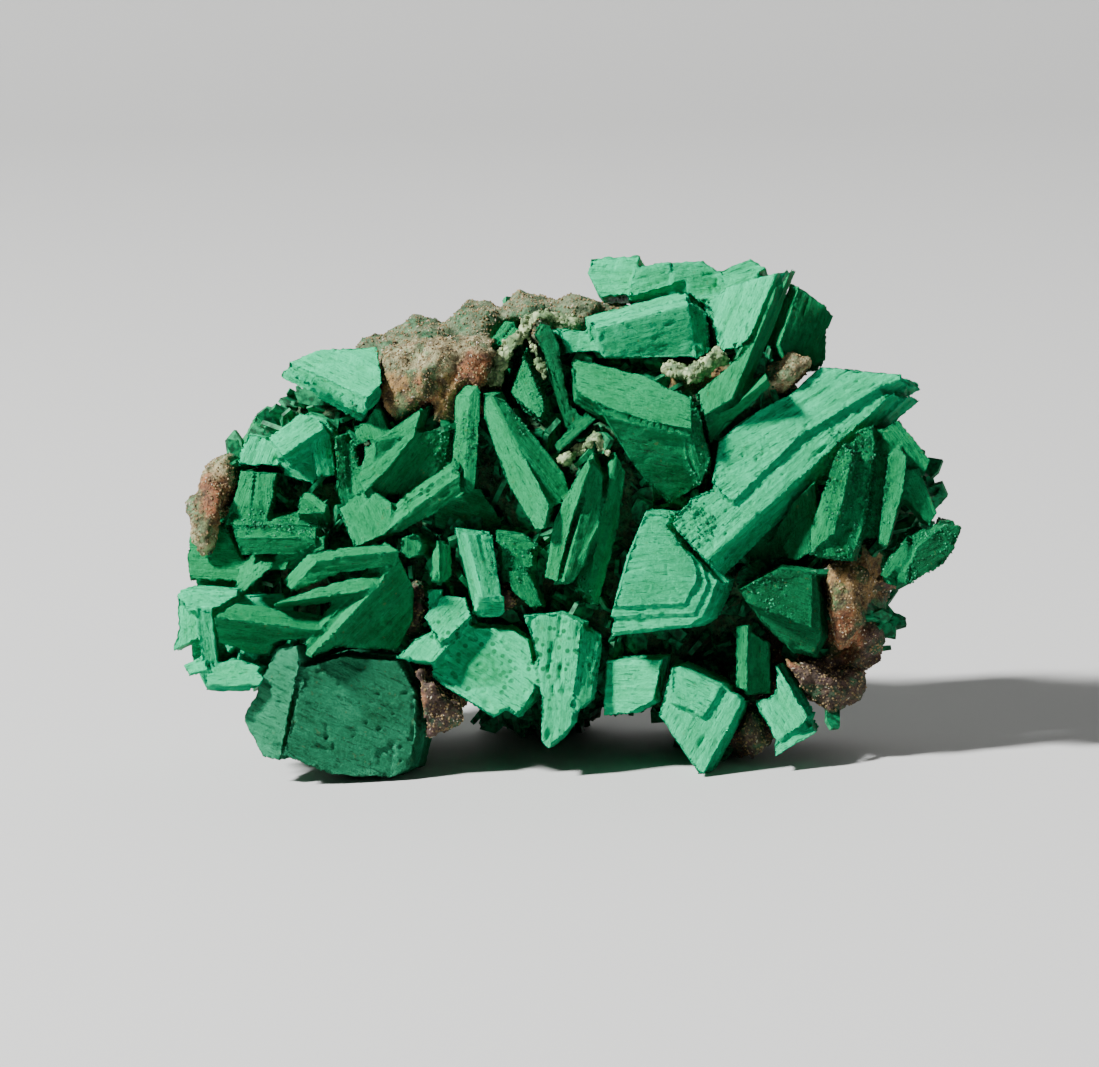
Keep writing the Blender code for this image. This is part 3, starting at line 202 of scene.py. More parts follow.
def put_points(mesh, points):
    """Move the vertices of a mesh to the rows given."""
    mesh.vertices.foreach_set("co", points.astype(np.float32).ravel())
    mesh.update()


def put_values(mesh, name, values):
    """Store a number for each vertex under a name that materials read."""
    layer = mesh.attributes.new(name, "FLOAT", "POINT")
    layer.data.foreach_set("value", values.astype(np.float32))


def put_vectors(mesh, name, rows):
    """Store a vector for each vertex under a name that materials read."""
    layer = mesh.attributes.new(name, "FLOAT_VECTOR", "POINT")
    layer.data.foreach_set("vector", rows.astype(np.float32).ravel())


def settle(target):
    """Make the modifiers' result the object's own mesh."""
    bpy.context.view_layer.update()
    graph = bpy.context.evaluated_depsgraph_get()
    mesh = bpy.data.meshes.new_from_object(target.evaluated_get(graph))
    target.modifiers.clear()
    target.data = mesh
    mesh.name = target.name


def in_scene(name, shape):
    """An object of the scene made from a bmesh, which is used up."""
    mesh = bpy.data.meshes.new(name)
    shape.to_mesh(mesh)
    shape.free()
    thing = bpy.data.objects.new(name, mesh)
    bpy.context.scene.collection.objects.link(thing)
    return thing


def merged_shape(node):
    """A CAD node's solid as a bmesh with shared corners and whole flat faces."""
    shape = bmesh.new()
    shape.from_mesh(frame["nodes"][node].data)
    bmesh.ops.remove_doubles(shape, verts=shape.verts, dist=1e-6)
    return shape


def fine_skin(name, shape, voxel):
    """A fine even mesh over a closed bmesh, which is used up."""
    skin = in_scene(name + "_skin", shape)
    remesh = skin.modifiers.new("remesh", "REMESH")
    remesh.mode = "VOXEL"
    remesh.voxel_size = voxel
    settle(skin)
    return skin


class Facets:
    """The flat faces of a closed bmesh, their sharp edges and the run of their fibres."""

    def __init__(self, whole):
        bmesh.ops.dissolve_limit(whole, angle_limit=FLAT_FACE, verts=whole.verts, edges=whole.edges)
        whole.verts.index_update()
        whole.faces.index_update()
        runs = []
        for face in whole.faces:
            longest = max(face.edges, key=lambda edge: edge.calc_length())
            run = (longest.verts[1].co - longest.verts[0].co).normalized()
            runs.append(run if run.x + RISE_WEIGHT * run.z > 0 else -run)
        spots = []
        for edge in whole.edges:
            if len(edge.link_faces) == 2 and edge.calc_face_angle(0.0) > SHARP_EDGE:
                a, b = edge.verts[0].co, edge.verts[1].co
                count = max(2, int((b - a).length / EDGE_STEP))
                spots.extend(a.lerp(b, i / count) for i in range(count + 1))
        trios = whole.calc_loop_triangles()
        self.owner = [trio[0].face.index for trio in trios]
        self.tree = BVHTree.FromPolygons([v.co.copy() for v in whole.verts],
                                         [[loop.vert.index for loop in trio] for trio in trios])
        self.normals = np.array([face.normal for face in whole.faces])
        self.runs = np.array(runs)
        self.edges = KDTree(len(spots))
        for number, spot in enumerate(spots):
            self.edges.insert(spot, number)
        self.edges.balance()
        whole.free()

    def under(self, points):
        """For each point its foot on the faces, which face that is, and the gap to the next edge."""
        feet = np.empty((len(points), 3))
        faces = np.empty(len(points), int)
        edge_gaps = np.empty(len(points))
        for i, point in enumerate(points):
            foot, _, triangle, _ = self.tree.find_nearest(point)
            feet[i] = foot
            faces[i] = self.owner[triangle]
            edge_gaps[i] = self.edges.find(foot)[2]
        return feet, faces, edge_gaps


# Fine mesh sizes, and what counts as one flat face or as a sharp edge
BLADE_VOXEL = 0.00022
FINE_VOXEL = 0.00017
REAR_VOXEL = 0.00034
FLAT_FACE = math.radians(4.0)
SHARP_EDGE = math.radians(22.0)
EDGE_STEP = 0.00012

# Fibres run to the right and up: what a rise counts for against a run to the right
RISE_WEIGHT = 0.6

# Relief of the blades, in millimetres
LEDGE = 0.11
STRIATION = 0.050
PIT = 0.20
CRUMBLE = 0.30
CRUST_RELIEF = 0.26
GRAIN = 0.020
RELIEF_RANGE = (-0.42, 0.16)

# Waves per millimetre along and beside the fibres, and how far apart two faces read the noise
LEDGE_WAVES = (0.055, 0.42)
STRIA_WAVES = (0.16, 2.1)
HAIR_WAVES = (0.35, 4.3)
SLOT_WAVES = (0.45, 1.7)
FACE_SHIFT = 40.0

# Terraces that a ledge wave is cut into, and the share of each that its riser takes
TERRACES = 4.0
RISER = 0.14

# Noise above which a slot or a pit opens, and the further rise to its full depth
SLOT_OPENS, SLOT_RISE = 0.52, 0.3
PIT_OPENS, PIT_RISE = 0.62, 0.2

# How far wear and dust reach in from an edge, in millimetres
EDGE_WEAR = 0.42
EDGE_DUST = 0.30

# Painted light and shade: faces that look this way, up, left and to the front as the key light does,
# are painted paler, and faces turned from it deeper
LIT_SIDE = np.array([-0.60, -0.35, 0.72])
PAINTED_LIGHT_START = 0.05
PAINTED_LIGHT_SPAN = 0.75


def weather(skin, facets, seed, ledges=1.0, striae=1.0, pits=1.0, crumble=1.0, turn=0.0):
    """Weather a blade's skin along its fibres, and store what its material reads."""
    feet, faces, edge_gaps = facets.under(mesh_points(skin.data))
    normals = facets.normals[faces]
    runs = facets.runs[faces]
    across = np.cross(normals, runs)
    if turn:
        runs, across = (runs * math.cos(turn) + across * math.sin(turn),
                        across * math.cos(turn) - runs * math.sin(turn))
    tone = hashed(np.stack([faces, faces * 7, faces * 13], axis=1), seed)
    places = feet / MM
    along = np.sum(places * runs, axis=1)
    beside = np.sum(places * across, axis=1)
    shift = tone * FACE_SHIFT
    view = drawn(feet)
    crust = zone_share(view, CRUSTED_ZONES, seed + 5)
    crust = np.clip(crust * (0.45 + 0.9 * rough_noise(places * 0.7, seed + 6)), 0.0, 1.0)

    def stretched(waves):
        """Places drawn out along the fibres, with each face apart from the others."""
        return np.stack([along * waves[0], beside * waves[1], shift], axis=1)

    # Ledges: a slow wave over the face, cut into flat terraces with a steep riser
    wave = rough_noise(stretched(LEDGE_WAVES), seed, 2)
    wave += 0.12 * wave_noise(places * 0.8, seed + 9)
    level = wave * TERRACES
    terrace = np.floor(level) + np.clip((level - np.floor(level)) / RISER, 0.0, 1.0)
    relief = ledges * LEDGE * (terrace - 2.0) * 0.5

    # Striations along the fibres, broken here and there
    fine = wave_noise(stretched(STRIA_WAVES), seed + 20)
    finer = wave_noise(stretched(HAIR_WAVES), seed + 21)
    relief += striae * STRIATION * (1.1 * fine + 0.9 * finer)
    relief += GRAIN * rough_noise(places * 3.1, seed + 25, 2)

    # Slots and pits
    slot = wave_noise(stretched(SLOT_WAVES), seed + 30)
    relief -= pits * PIT * np.clip((slot - SLOT_OPENS) / SLOT_RISE, 0.0, 1.0)
    hole = wave_noise(places * 1.5, seed + 31)
    relief -= pits * PIT * 0.6 * np.clip((hole - PIT_OPENS) / PIT_RISE, 0.0, 1.0)

    # Crumbled edges and granular crusts
    worn = np.clip(rough_noise(places * 1.1, seed + 40) + 0.15, 0.0, 1.0)
    relief -= crumble * CRUMBLE * np.exp(-edge_gaps / MM / EDGE_WEAR) * worn
    relief += crust * CRUST_RELIEF * rough_noise(places * 2.6, seed + 41)
    relief = np.clip(relief, *RELIEF_RANGE)
    put_points(skin.data, feet + normals * (relief * MM)[:, None])
    skin.data.shade_smooth()

    # What the material reads: fibres, painted light and shade by which way each face looks, edges,
    # crust, the green oval and the spots
    put_vectors(skin.data, "fibre", stretched((1.0, 1.0)))
    # Painted light and shade: high where a face looks towards the key light, low where it looks away,
    # varied by a random tone per face and a slow noise
    facing = normals @ LIT_SIDE + 0.22 * (tone - 0.5)
    facing += 0.30 * rough_noise(places * 0.22, seed + 8)
    put_values(skin.data, "bleach", np.clip((facing - PAINTED_LIGHT_START) / PAINTED_LIGHT_SPAN, 0.0, 1.0))
    put_values(skin.data, "edge", np.exp(-edge_gaps / MM / EDGE_DUST))
    put_values(skin.data, "crust", crust)
    x, z, wide, high = GREEN_OVAL
    reach = np.hypot((view[:, 0] - x) / wide, (view[:, 1] - z) / high)
    reach += 0.22 * rough_noise(places * 0.8, seed + 50)
    oval = np.clip((1.0 - reach) * 4.0, 0.0, 1.0) * (0.72 + 0.28 * np.sin(reach * 16.0))
    put_values(skin.data, "oval", oval * (view[:, 2] < OVAL_DEPTH))
    put_values(skin.data, "spots", zone_share(view, SPOTTED_ZONES, seed + 7, 0.2))


# Texture scales, in features per metre, from broad patches to the finest grain
DUST_PATCHES = 260.0
VEILS = 330.0
CLOUDS = 420.0
CRUST_MOTTLE = 800.0
RAGGED_EDGES = 900.0
CRACKLE = 900.0
EARTH_MOTTLE = 1000.0
OVALS = 1250.0
CRYSTAL_TINTS = 1500.0
SPECKS = 1900.0
SPECKLE = 2300.0
EARTH_GRAINS = 2600.0
FINE_GRAIN = 3000.0

# Stretch of the fibre textures: along the fibres, beside them, and from face to face
STREAK_STRETCH = (0.35, 7.0, 1.0)
BAND_STRETCH = (0.12, 0.9, 1.0)
SLOT_STRETCH = (0.8, 5.0, 1.0)
HAIR_STRETCH = (0.5, 16.0, 1.0)

# Depths of the relief that is too fine for the meshes, in metres
FIBRE_DEPTH = 0.00020
RUGGED_DEPTH = 0.00026
EARTH_DEPTH = 0.00042
EARTH_GRAIN_DEPTH = 0.00020
CRACKLE_DEPTH = 0.00015


# Shader helpers and shared groups: colours, masks and heights only
def new_group(name, inputs, outputs):
    """A shader node group with its sockets, and its input and output nodes."""
    group = bpy.data.node_groups.new(name, "ShaderNodeTree")
    for label, kind in inputs:
        group.interface.new_socket(label, in_out="INPUT", socket_type=kind)
    for label in outputs:
        group.interface.new_socket(label, in_out="OUTPUT", socket_type="NodeSocketFloat")
    return group, group.nodes.new("NodeGroupInput"), group.nodes.new("NodeGroupOutput")


def link(tree, source, target):
    """Join an output socket to an input socket."""
    tree.links.new(source, target)


def math_node(tree, operation, first, second=None, third=None, clamp=False):
    """A math node whose inputs are sockets or numbers; returns its output."""
    node = tree.nodes.new("ShaderNodeMath")
    node.operation = operation
    node.use_clamp = clamp
    for slot, value in zip(node.inputs, (first, second, third)):
        if isinstance(value, bpy.types.NodeSocket):
            link(tree, value, slot)
        elif value is not None:
            slot.default_value = value
    return node.outputs[0]


def ramp(tree, value, low, high):
    """Value mapped smoothly from low..high to 0..1."""
    node = tree.nodes.new("ShaderNodeMapRange")
    node.interpolation_type = "SMOOTHSTEP"
    link(tree, value, node.inputs["Value"])
    node.inputs["From Min"].default_value = low
    node.inputs["From Max"].default_value = high
    return node.outputs["Result"]


def mix_colour(tree, share, first, second):
    """Two colours mixed by a share: each a socket, or the share a number and a colour three."""
    node = tree.nodes.new("ShaderNodeMix")
    node.data_type = "RGBA"
    for slot, value in ((node.inputs[0], share), (node.inputs[6], first), (node.inputs[7], second)):
        if isinstance(value, bpy.types.NodeSocket):
            link(tree, value, slot)
        else:
            slot.default_value = (*value, 1.0) if isinstance(value, tuple) else value
    return node.outputs[2]


def wash(tree, base, mask, share, tint):
    """A tint laid over a base colour where a mask is high, by up to the share given."""
    return mix_colour(tree, math_node(tree, "MULTIPLY", mask, share), base, tint)


def noise_value(tree, vector, scale, detail, roughness=0.6, stretch=None):
    """A noise texture's value at a vector, which may be stretched first."""
    if stretch:
        mapping = tree.nodes.new("ShaderNodeMapping")
        mapping.inputs["Scale"].default_value = stretch
        link(tree, vector, mapping.inputs["Vector"])
        vector = mapping.outputs["Vector"]
    node = tree.nodes.new("ShaderNodeTexNoise")
    node.inputs["Scale"].default_value = scale
    node.inputs["Detail"].default_value = detail
    node.inputs["Roughness"].default_value = roughness
    link(tree, vector, node.inputs["Vector"])
    return node.outputs["Fac"]


def attribute(tree, name, vector=False):
    """A stored attribute's number or vector."""
    node = tree.nodes.new("ShaderNodeAttribute")
    node.attribute_name = name
    return node.outputs["Vector"] if vector else node.outputs["Fac"]


def fibre_group():
    """Fibres along a blade: a fine streak value, broad bands and dark slots."""
    group, given, out = new_group("fibres", [("Fibre", "NodeSocketVector")],
                                  ["Streaks", "Bands", "Slots", "Height"])
    fibre = given.outputs["Fibre"]
    streaks = noise_value(group, fibre, 1.0, 4.0, 0.7, STREAK_STRETCH)
    bands = noise_value(group, fibre, 1.0, 2.0, 0.5, BAND_STRETCH)
    slots = noise_value(group, fibre, 1.0, 2.0, 0.6, SLOT_STRETCH)
    hairs = noise_value(group, fibre, 1.0, 2.0, 0.5, HAIR_STRETCH)
    cuts = ramp(group, slots, 0.60, 0.72)
    height = math_node(group, "MULTIPLY_ADD", hairs, 0.6, streaks)
    height = math_node(group, "SUBTRACT", height, math_node(group, "MULTIPLY", cuts, 0.7))
    made = {"Streaks": streaks, "Bands": bands, "Slots": cuts, "Height": height}
    for label, value in made.items():
        link(group, value, out.inputs[label])
    return group


def dust_group():
    """Pale dusty bleaching: strongest at edges and in ragged patches."""
    group, given, out = new_group("dust", [("Place", "NodeSocketVector"), ("Edge", "NodeSocketFloat")],
                                  ["Dust", "Specks"])
    place = given.outputs["Place"]
    patches = ramp(group, noise_value(group, place, DUST_PATCHES, 5.0, 0.65), 0.50, 0.66)
    ragged = noise_value(group, place, RAGGED_EDGES, 3.0, 0.6)
    worn = math_node(group, "MULTIPLY", ragged, 1.9)
    edges = math_node(group, "MULTIPLY", given.outputs["Edge"], worn)
    patches = math_node(group, "MULTIPLY", patches, 0.45)
    link(group, math_node(group, "MAXIMUM", patches, edges, clamp=True), out.inputs["Dust"])
    specks = ramp(group, noise_value(group, place, SPECKS, 2.0, 0.5), 0.66, 0.74)
    link(group, specks, out.inputs["Specks"])
    return group


def spot_group():
    """Dark ovals in ragged groups, as malachite shows where it is cut across its bands."""
    group, given, out = new_group("spots", [("Place", "NodeSocketVector")], ["Ovals"])
    cells = group.nodes.new("ShaderNodeTexVoronoi")
    cells.inputs["Scale"].default_value = OVALS
    cells.inputs["Randomness"].default_value = 0.9
    link(group, given.outputs["Place"], cells.inputs["Vector"])
    ovals = math_node(group, "SUBTRACT", 1.0, ramp(group, cells.outputs["Distance"], 0.26, 0.40))
    picked = ramp(group, noise_value(group, given.outputs["Place"], VEILS, 1.0), 0.42, 0.49)
    link(group, math_node(group, "MULTIPLY", ovals, picked), out.inputs["Ovals"])
    return group


FIBRES = fibre_group()
DUST = dust_group()
SPOTS = spot_group()


def group_node(tree, group):
    """A group placed in a material."""
    node = tree.nodes.new("ShaderNodeGroup")
    node.node_tree = group
    return node


def blank_material(name, roughness, specular=0.5, gloss=(1.0, 1.0, 1.0)):
    """A material with its Principled shader and Object coordinates."""
    look = bpy.data.materials.new(name)
    look.use_nodes = True
    tree = look.node_tree
    shader = tree.nodes["Principled BSDF"]
    shader.inputs["Roughness"].default_value = roughness
    shader.inputs["Specular IOR Level"].default_value = specular
    shader.inputs["Specular Tint"].default_value = (*gloss, 1.0)
    place = tree.nodes.new("ShaderNodeTexCoord").outputs["Object"]
    return look, tree, shader, place


def bump(tree, height, strength, distance, normal=None):
    """A bump node over a height in the given distance, in metres."""
    node = tree.nodes.new("ShaderNodeBump")
    node.inputs["Strength"].default_value = strength
    node.inputs["Distance"].default_value = distance
    link(tree, height, node.inputs["Height"])
    if normal:
        link(tree, normal, node.inputs["Normal"])
    return node.outputs["Normal"]


# Malachite's tints: deep in slots and on faces turned from the key light, both painted shade; the
# body; pale as painted light on faces turned to the key light; and how dusty its edges are
MALACHITES = {
    "malachite_green": ((0.001, 0.046, 0.008), (0.002, 0.210, 0.054), (0.012, 0.410, 0.150), 0.55),
    "malachite_mint": ((0.001, 0.140, 0.038), (0.003, 0.550, 0.195), (0.016, 0.800, 0.360), 0.75),
    "malachite_dark": ((0.001, 0.026, 0.005), (0.002, 0.105, 0.027), (0.008, 0.270, 0.095), 0.50),
    "malachite_grey": ((0.003, 0.048, 0.015), (0.007, 0.130, 0.050), (0.040, 0.340, 0.170), 0.60),
}
GREEN_GLOSS = (0.35, 1.0, 0.62)
BROWN_STAIN = (0.16, 0.13, 0.04)

# How strongly each mark shows in malachite's colour
GRAIN_SHARE = 0.22
CLOUD_SHARE = 0.28
SHADE_SHARE = 0.45
BAND_SHARE = 0.14
SLOT_SHADE_SHARE = 0.60
SPOT_SHARE = 0.85
OVAL_SHARE = 0.90
CRUST_SHARE = 0.75
STAIN_SHARE = 0.25


def malachite(name, deep, body, pale, dusty):
    """Malachite: fibrous body, painted light and shade by facing, dusty edges, slots darkened with
    painted shade, spots and crust.
    """
    look, tree, shader, place = blank_material(name, 0.62, 0.18, GREEN_GLOSS)
    fibres = group_node(tree, FIBRES)
    link(tree, attribute(tree, "fibre", True), fibres.inputs["Fibre"])
    dust = group_node(tree, DUST)
    link(tree, place, dust.inputs["Place"])
    link(tree, attribute(tree, "edge"), dust.inputs["Edge"])
    spots = group_node(tree, SPOTS)
    link(tree, place, spots.inputs["Place"])
    bleach = attribute(tree, "bleach")
    grain = ramp(tree, noise_value(tree, place, FINE_GRAIN, 4.0, 0.7), 0.36, 0.66)
    cloud = ramp(tree, noise_value(tree, place, CLOUDS, 4.0, 0.6), 0.34, 0.68)

    # Body colour: painted shade, deeper on faces turned from the key light, and painted light, paler
    # on faces turned to it, with fine grain and a little cloud
    base = mix_colour(tree, math_node(tree, "MULTIPLY_ADD", bleach, 0.62, 0.20), deep, body)
    base = wash(tree, base, grain, GRAIN_SHARE, pale)
    base = wash(tree, base, cloud, CLOUD_SHARE, body)
    # Painted light: faces turned to the key light are washed paler still
    base = wash(tree, base, bleach, math_node(tree, "MULTIPLY_ADD", cloud, 0.35, 0.30), pale)

    # Fibres: fine pale hairs, shaded streaks, broad bands and slots along the blade, darkened as
    # painted shade in their grooves
    hairs = ramp(tree, fibres.outputs["Streaks"], 0.56, 0.70)
    base = wash(tree, base, hairs, math_node(tree, "MULTIPLY_ADD", bleach, -0.20, 0.50), pale)
    shade = math_node(tree, "SUBTRACT", 1.0, ramp(tree, fibres.outputs["Streaks"], 0.28, 0.46))
    base = wash(tree, base, shade, SHADE_SHARE, deep)
    base = wash(tree, base, ramp(tree, fibres.outputs["Bands"], 0.46, 0.60), BAND_SHARE, pale)
    base = wash(tree, base, dust.outputs["Dust"], dusty, pale)
    dark = tuple(0.35 * c for c in deep)
    # Painted shade: the slots, which the bump cuts as grooves, are darkened to near black
    base = wash(tree, base, fibres.outputs["Slots"], SLOT_SHADE_SHARE, dark)

    # Spots where the bands are cut across, the clear oval, and the speckle of crusted places
    marked = math_node(tree, "MULTIPLY", spots.outputs["Ovals"], attribute(tree, "spots"))
    base = wash(tree, base, marked, SPOT_SHARE, deep)
    clear = tuple(0.65 * a + 0.35 * b for a, b in zip(deep, body))
    base = wash(tree, base, attribute(tree, "oval"), OVAL_SHARE, clear)
    speckle = ramp(tree, noise_value(tree, place, SPECKLE, 3.0), 0.42, 0.60)
    speckled = mix_colour(tree, speckle, dark, body)
    base = wash(tree, base, attribute(tree, "crust"), CRUST_SHARE, speckled)
    base = wash(tree, base, dust.outputs["Specks"], STAIN_SHARE, BROWN_STAIN)
    link(tree, base, shader.inputs["Base Color"])

    # Dusty places are rougher, and all faces are finely rugged under their fibres
    rough = math_node(tree, "MULTIPLY_ADD", dust.outputs["Dust"], 0.22, 0.52, clamp=True)
    link(tree, rough, shader.inputs["Roughness"])
    normal = bump(tree, fibres.outputs["Height"], 1.0, FIBRE_DEPTH)
    normal = bump(tree, noise_value(tree, place, SPECKLE, 5.0, 0.78), 1.0, RUGGED_DEPTH, normal)
    link(tree, normal, shader.inputs["Normal"])
    return look


# The limonite's tints, dark and light, in the patches that the matrix stores a mask for
EARTH = {
    "green": ((0.001, 0.034, 0.010), (0.006, 0.170, 0.062)),
    "brown": ((0.030, 0.016, 0.008), (0.130, 0.078, 0.036)),
    "plum": ((0.016, 0.008, 0.008), (0.090, 0.048, 0.042)),
    "ochre": ((0.038, 0.018, 0.006), (0.290, 0.168, 0.048)),
    "rim": ((0.030, 0.070, 0.032), (0.170, 0.220, 0.120)),
    "cream": ((0.070, 0.055, 0.022), (0.390, 0.370, 0.200)),
    "rust": ((0.060, 0.018, 0.008), (0.320, 0.115, 0.040)),
}
SAND_TINT = (0.50, 0.36, 0.18)
SAND_SHARE = 0.1225
VEIL_SHARE = 0.62


def gossan():
    """Limonite matrix: ochre, rust, cream and plum grains in the patches, dark green elsewhere."""
    look, tree, shader, place = blank_material("gossan", 0.75, 0.4)
    coarse = noise_value(tree, place, EARTH_MOTTLE, 5.0, 0.75)
    fine = noise_value(tree, place, EARTH_GRAINS, 4.0, 0.7)
    mottle = ramp(tree, coarse, 0.38, 0.64)
    earth = {name: mix_colour(tree, mottle, dark, light) for name, (dark, light) in EARTH.items()}
    base = mix_colour(tree, attribute(tree, "bare"), earth["green"], earth["brown"])
    for name in ("plum", "ochre", "rim", "cream", "rust"):
        base = mix_colour(tree, attribute(tree, name), base, earth[name])
    base = wash(tree, base, ramp(tree, fine, 0.35, 0.66), SAND_SHARE, SAND_TINT)
    veil = ramp(tree, noise_value(tree, place, VEILS, 4.0), 0.50, 0.62)
    base = wash(tree, base, veil, VEIL_SHARE, earth["green"])
    link(tree, base, shader.inputs["Base Color"])
    normal = bump(tree, coarse, 1.0, EARTH_DEPTH)
    normal = bump(tree, fine, 1.0, EARTH_GRAIN_DEPTH, normal)
    link(tree, normal, shader.inputs["Normal"])
    return look


# The pale crust's tint, its shadows, and the green that shows in its cracks
CRUST_TINT = (0.42, 0.50, 0.26)
CRUST_SHADOW = (0.12, 0.20, 0.08)
CRACK_TINT = (0.05, 0.10, 0.05)
CRACK_SHARE = 0.7


def chalky():
    """A pale crust with crackle lines."""
    look, tree, shader, place = blank_material("pale_crust", 0.8, 0.35)
    cells = tree.nodes.new("ShaderNodeTexVoronoi")
    cells.feature = "DISTANCE_TO_EDGE"
    cells.inputs["Scale"].default_value = CRACKLE
    link(tree, place, cells.inputs["Vector"])
    crack = math_node(tree, "SUBTRACT", 1.0, ramp(tree, cells.outputs["Distance"], 0.02, 0.10))
    mottle = ramp(tree, noise_value(tree, place, CRUST_MOTTLE, 4.0), 0.40, 0.66)
    base = mix_colour(tree, mottle, CRUST_SHADOW, CRUST_TINT)
    base = wash(tree, base, crack, CRACK_SHARE, CRACK_TINT)
    link(tree, base, shader.inputs["Base Color"])
    normal = bump(tree, cells.outputs["Distance"], 0.5, CRACKLE_DEPTH)
    link(tree, normal, shader.inputs["Normal"])
    return look


def grain_material(name, tint, roughness, specular, spread=0.35):
    """Small crystals: one tint that varies from place to place, down to the spread given."""
    look, tree, shader, place = blank_material(name, roughness, specular)
    vary = ramp(tree, noise_value(tree, place, CRYSTAL_TINTS, 2.0), 0.35, 0.65)
    dark = tuple(spread * c for c in tint)
    link(tree, mix_colour(tree, vary, dark, tint), shader.inputs["Base Color"])
    return look


TINTS = {name: malachite(name, *tints) for name, tints in MALACHITES.items()}
GOSSAN = gossan()
CHALK = chalky()
DRUSE_GREEN = grain_material("druse_green", (0.012, 0.270, 0.110), 0.60, 0.20)
DRUSE_DARK = grain_material("druse_dark", (0.004, 0.085, 0.034), 0.45, 0.30)
LATHS = grain_material("small_blades", (0.006, 0.230, 0.085), 0.60, 0.20, 0.25)
SAND = grain_material("limonite_grains", (0.300, 0.210, 0.095), 0.55, 0.35, 0.4)
SPARKLE = grain_material("clear_grains", (0.560, 0.500, 0.380), 0.20, 0.60, 0.5)


# Blades: malachite that replaced barite; each keeps the barite's form and shows malachite fibres
SLOTS = {row["node"]: row["material_slot"] for row in frame["record"]["subparts"]}

# Blades whose weathering stands out in the front view; turn sets the fibres across the blade
SPECIAL = {
    "front_left_plates": dict(ledges=1.2, striae=0.7, pits=1.6, crumble=1.3,
                              turn=math.radians(80.0)),
    "great_slab": dict(ledges=1.3, striae=1.4, pits=1.2, crumble=1.3),
    "shield_blade": dict(ledges=1.0, striae=1.5, pits=1.0),
    "vertical_prism": dict(ledges=0.5, striae=1.5, pits=0.3, crumble=0.5),
    "central_prisms": dict(ledges=0.6, striae=1.3, pits=0.6, crumble=0.7),
    "stick_blade": dict(ledges=0.3, striae=0.8, pits=0.4, crumble=0.6),
    "v_blade": dict(ledges=0.6, striae=1.1, pits=0.5, crumble=0.7),
    "centre_plates": dict(ledges=1.1, striae=0.5, pits=1.4, crumble=1.4),
    "book_plate": dict(ledges=0.7, striae=0.7, pits=0.8, crumble=0.9),
}


def finish_piece(piece, material, node=None):
    """Give a piece its material and slot, and put it in place of the CAD node it stands for."""
    piece.data.materials.clear()
    piece.data.materials.append(material)
    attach(piece, "root")
    if node:
        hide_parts(node)


BLADES = []
for number, node in enumerate(sorted(SLOTS)):
    if not SLOTS[node].startswith("malachite"):
        continue
    voxel = FINE_VOXEL if node in SPECIAL else BLADE_VOXEL
    if node.startswith("rear_blades"):
        voxel = REAR_VOXEL
    skin = fine_skin(node, merged_shape(node), voxel)
    weather(skin, Facets(merged_shape(node)), 11 * number + 3, **SPECIAL.get(node, {}))
    finish_piece(skin, TINTS[SLOTS[node]], node)
    BLADES.append(skin)


# The plate behind the small crystals at the left end, which closes the hollow between them
LEFT_BACK_PLATE = [(-37.8, 18.2), (-28.6, 18.8), (-26.8, 12.6), (-30.4, 9.2), (-36.5, 9.2),
                   (-37.9, 12.4)]
LEFT_BACK_DEPTHS = (4.2, 7.4)


def plate(outline, depths):
    """A plate between two depths behind the front view's outline."""
    shape = bmesh.new()
    rings = [[shape.verts.new(world_spot(x, z, depth)) for x, z in outline] for depth in depths]
    shape.faces.new(rings[0])
    shape.faces.new(rings[1][::-1])
    for i in range(len(outline)):
        j = (i + 1) % len(outline)
        shape.faces.new((rings[0][j], rings[0][i], rings[1][i], rings[1][j]))
    bmesh.ops.recalc_face_normals(shape, faces=shape.faces)
    return shape


back_plate = plate(LEFT_BACK_PLATE, LEFT_BACK_DEPTHS)
skin = fine_skin("left_back_plate", back_plate.copy(), BLADE_VOXEL)
weather(skin, Facets(back_plate), 907)
finish_piece(skin, TINTS["malachite_mint"])
BLADES.append(skin)


# Matrix: granular limonite, bare in patches and coated with dark drusy malachite elsewhere
MATRIX_VOXEL = 0.00048

# Its relief, in millimetres: lumps, knobs that stand out where it is bare, and grit
LUMPS = 0.42
KNOBS = 0.20
GRIT = 0.16
MATRIX_RANGE = (-0.6, 0.42)

# Depths at which the front's patches end and at which the bare back is fully bare, and the
# millimetres before them over which each changes
PATCH_DEPTH, PATCH_FADE = 24.0, 4.0
BARE_DEPTH, BARE_FADE = 33.0, 7.0
PATCHES = {"ochre": OCHRE_ZONES, "rust": RUST_ZONES, "cream": CREAM_ZONES, "plum": PLUM_ZONES,
           "rim": GREY_RIM_ZONES}

matrix = fine_skin("matrix", merged_shape("matrix"), MATRIX_VOXEL)
spots = mesh_points(matrix.data)
outward = mesh_normals(matrix.data)
view = drawn(spots)
places = spots / MM
near_front = np.clip((PATCH_DEPTH - view[:, 2]) / PATCH_FADE, 0.0, 1.0)
bare = 1.0 - np.clip((BARE_DEPTH - view[:, 2]) / BARE_FADE, 0.0, 1.0)
bare *= np.clip(0.5 + 1.6 * rough_noise(places * 0.16, 301), 0.0, 1.0)
sandy = bare.copy()
for seed, (name, zones) in enumerate(PATCHES.items()):
    share = zone_share(view, zones, 310 + seed, 0.5) * near_front
    put_values(matrix.data, name, share)
    sandy = np.maximum(sandy, share)
put_values(matrix.data, "bare", bare)
put_values(matrix.data, "sandy", sandy)
put_values(matrix.data, "coated", np.clip(1.0 - 1.4 * sandy, 0.0, 1.0))
relief = LUMPS * rough_noise(places * 0.9, 320, 3)
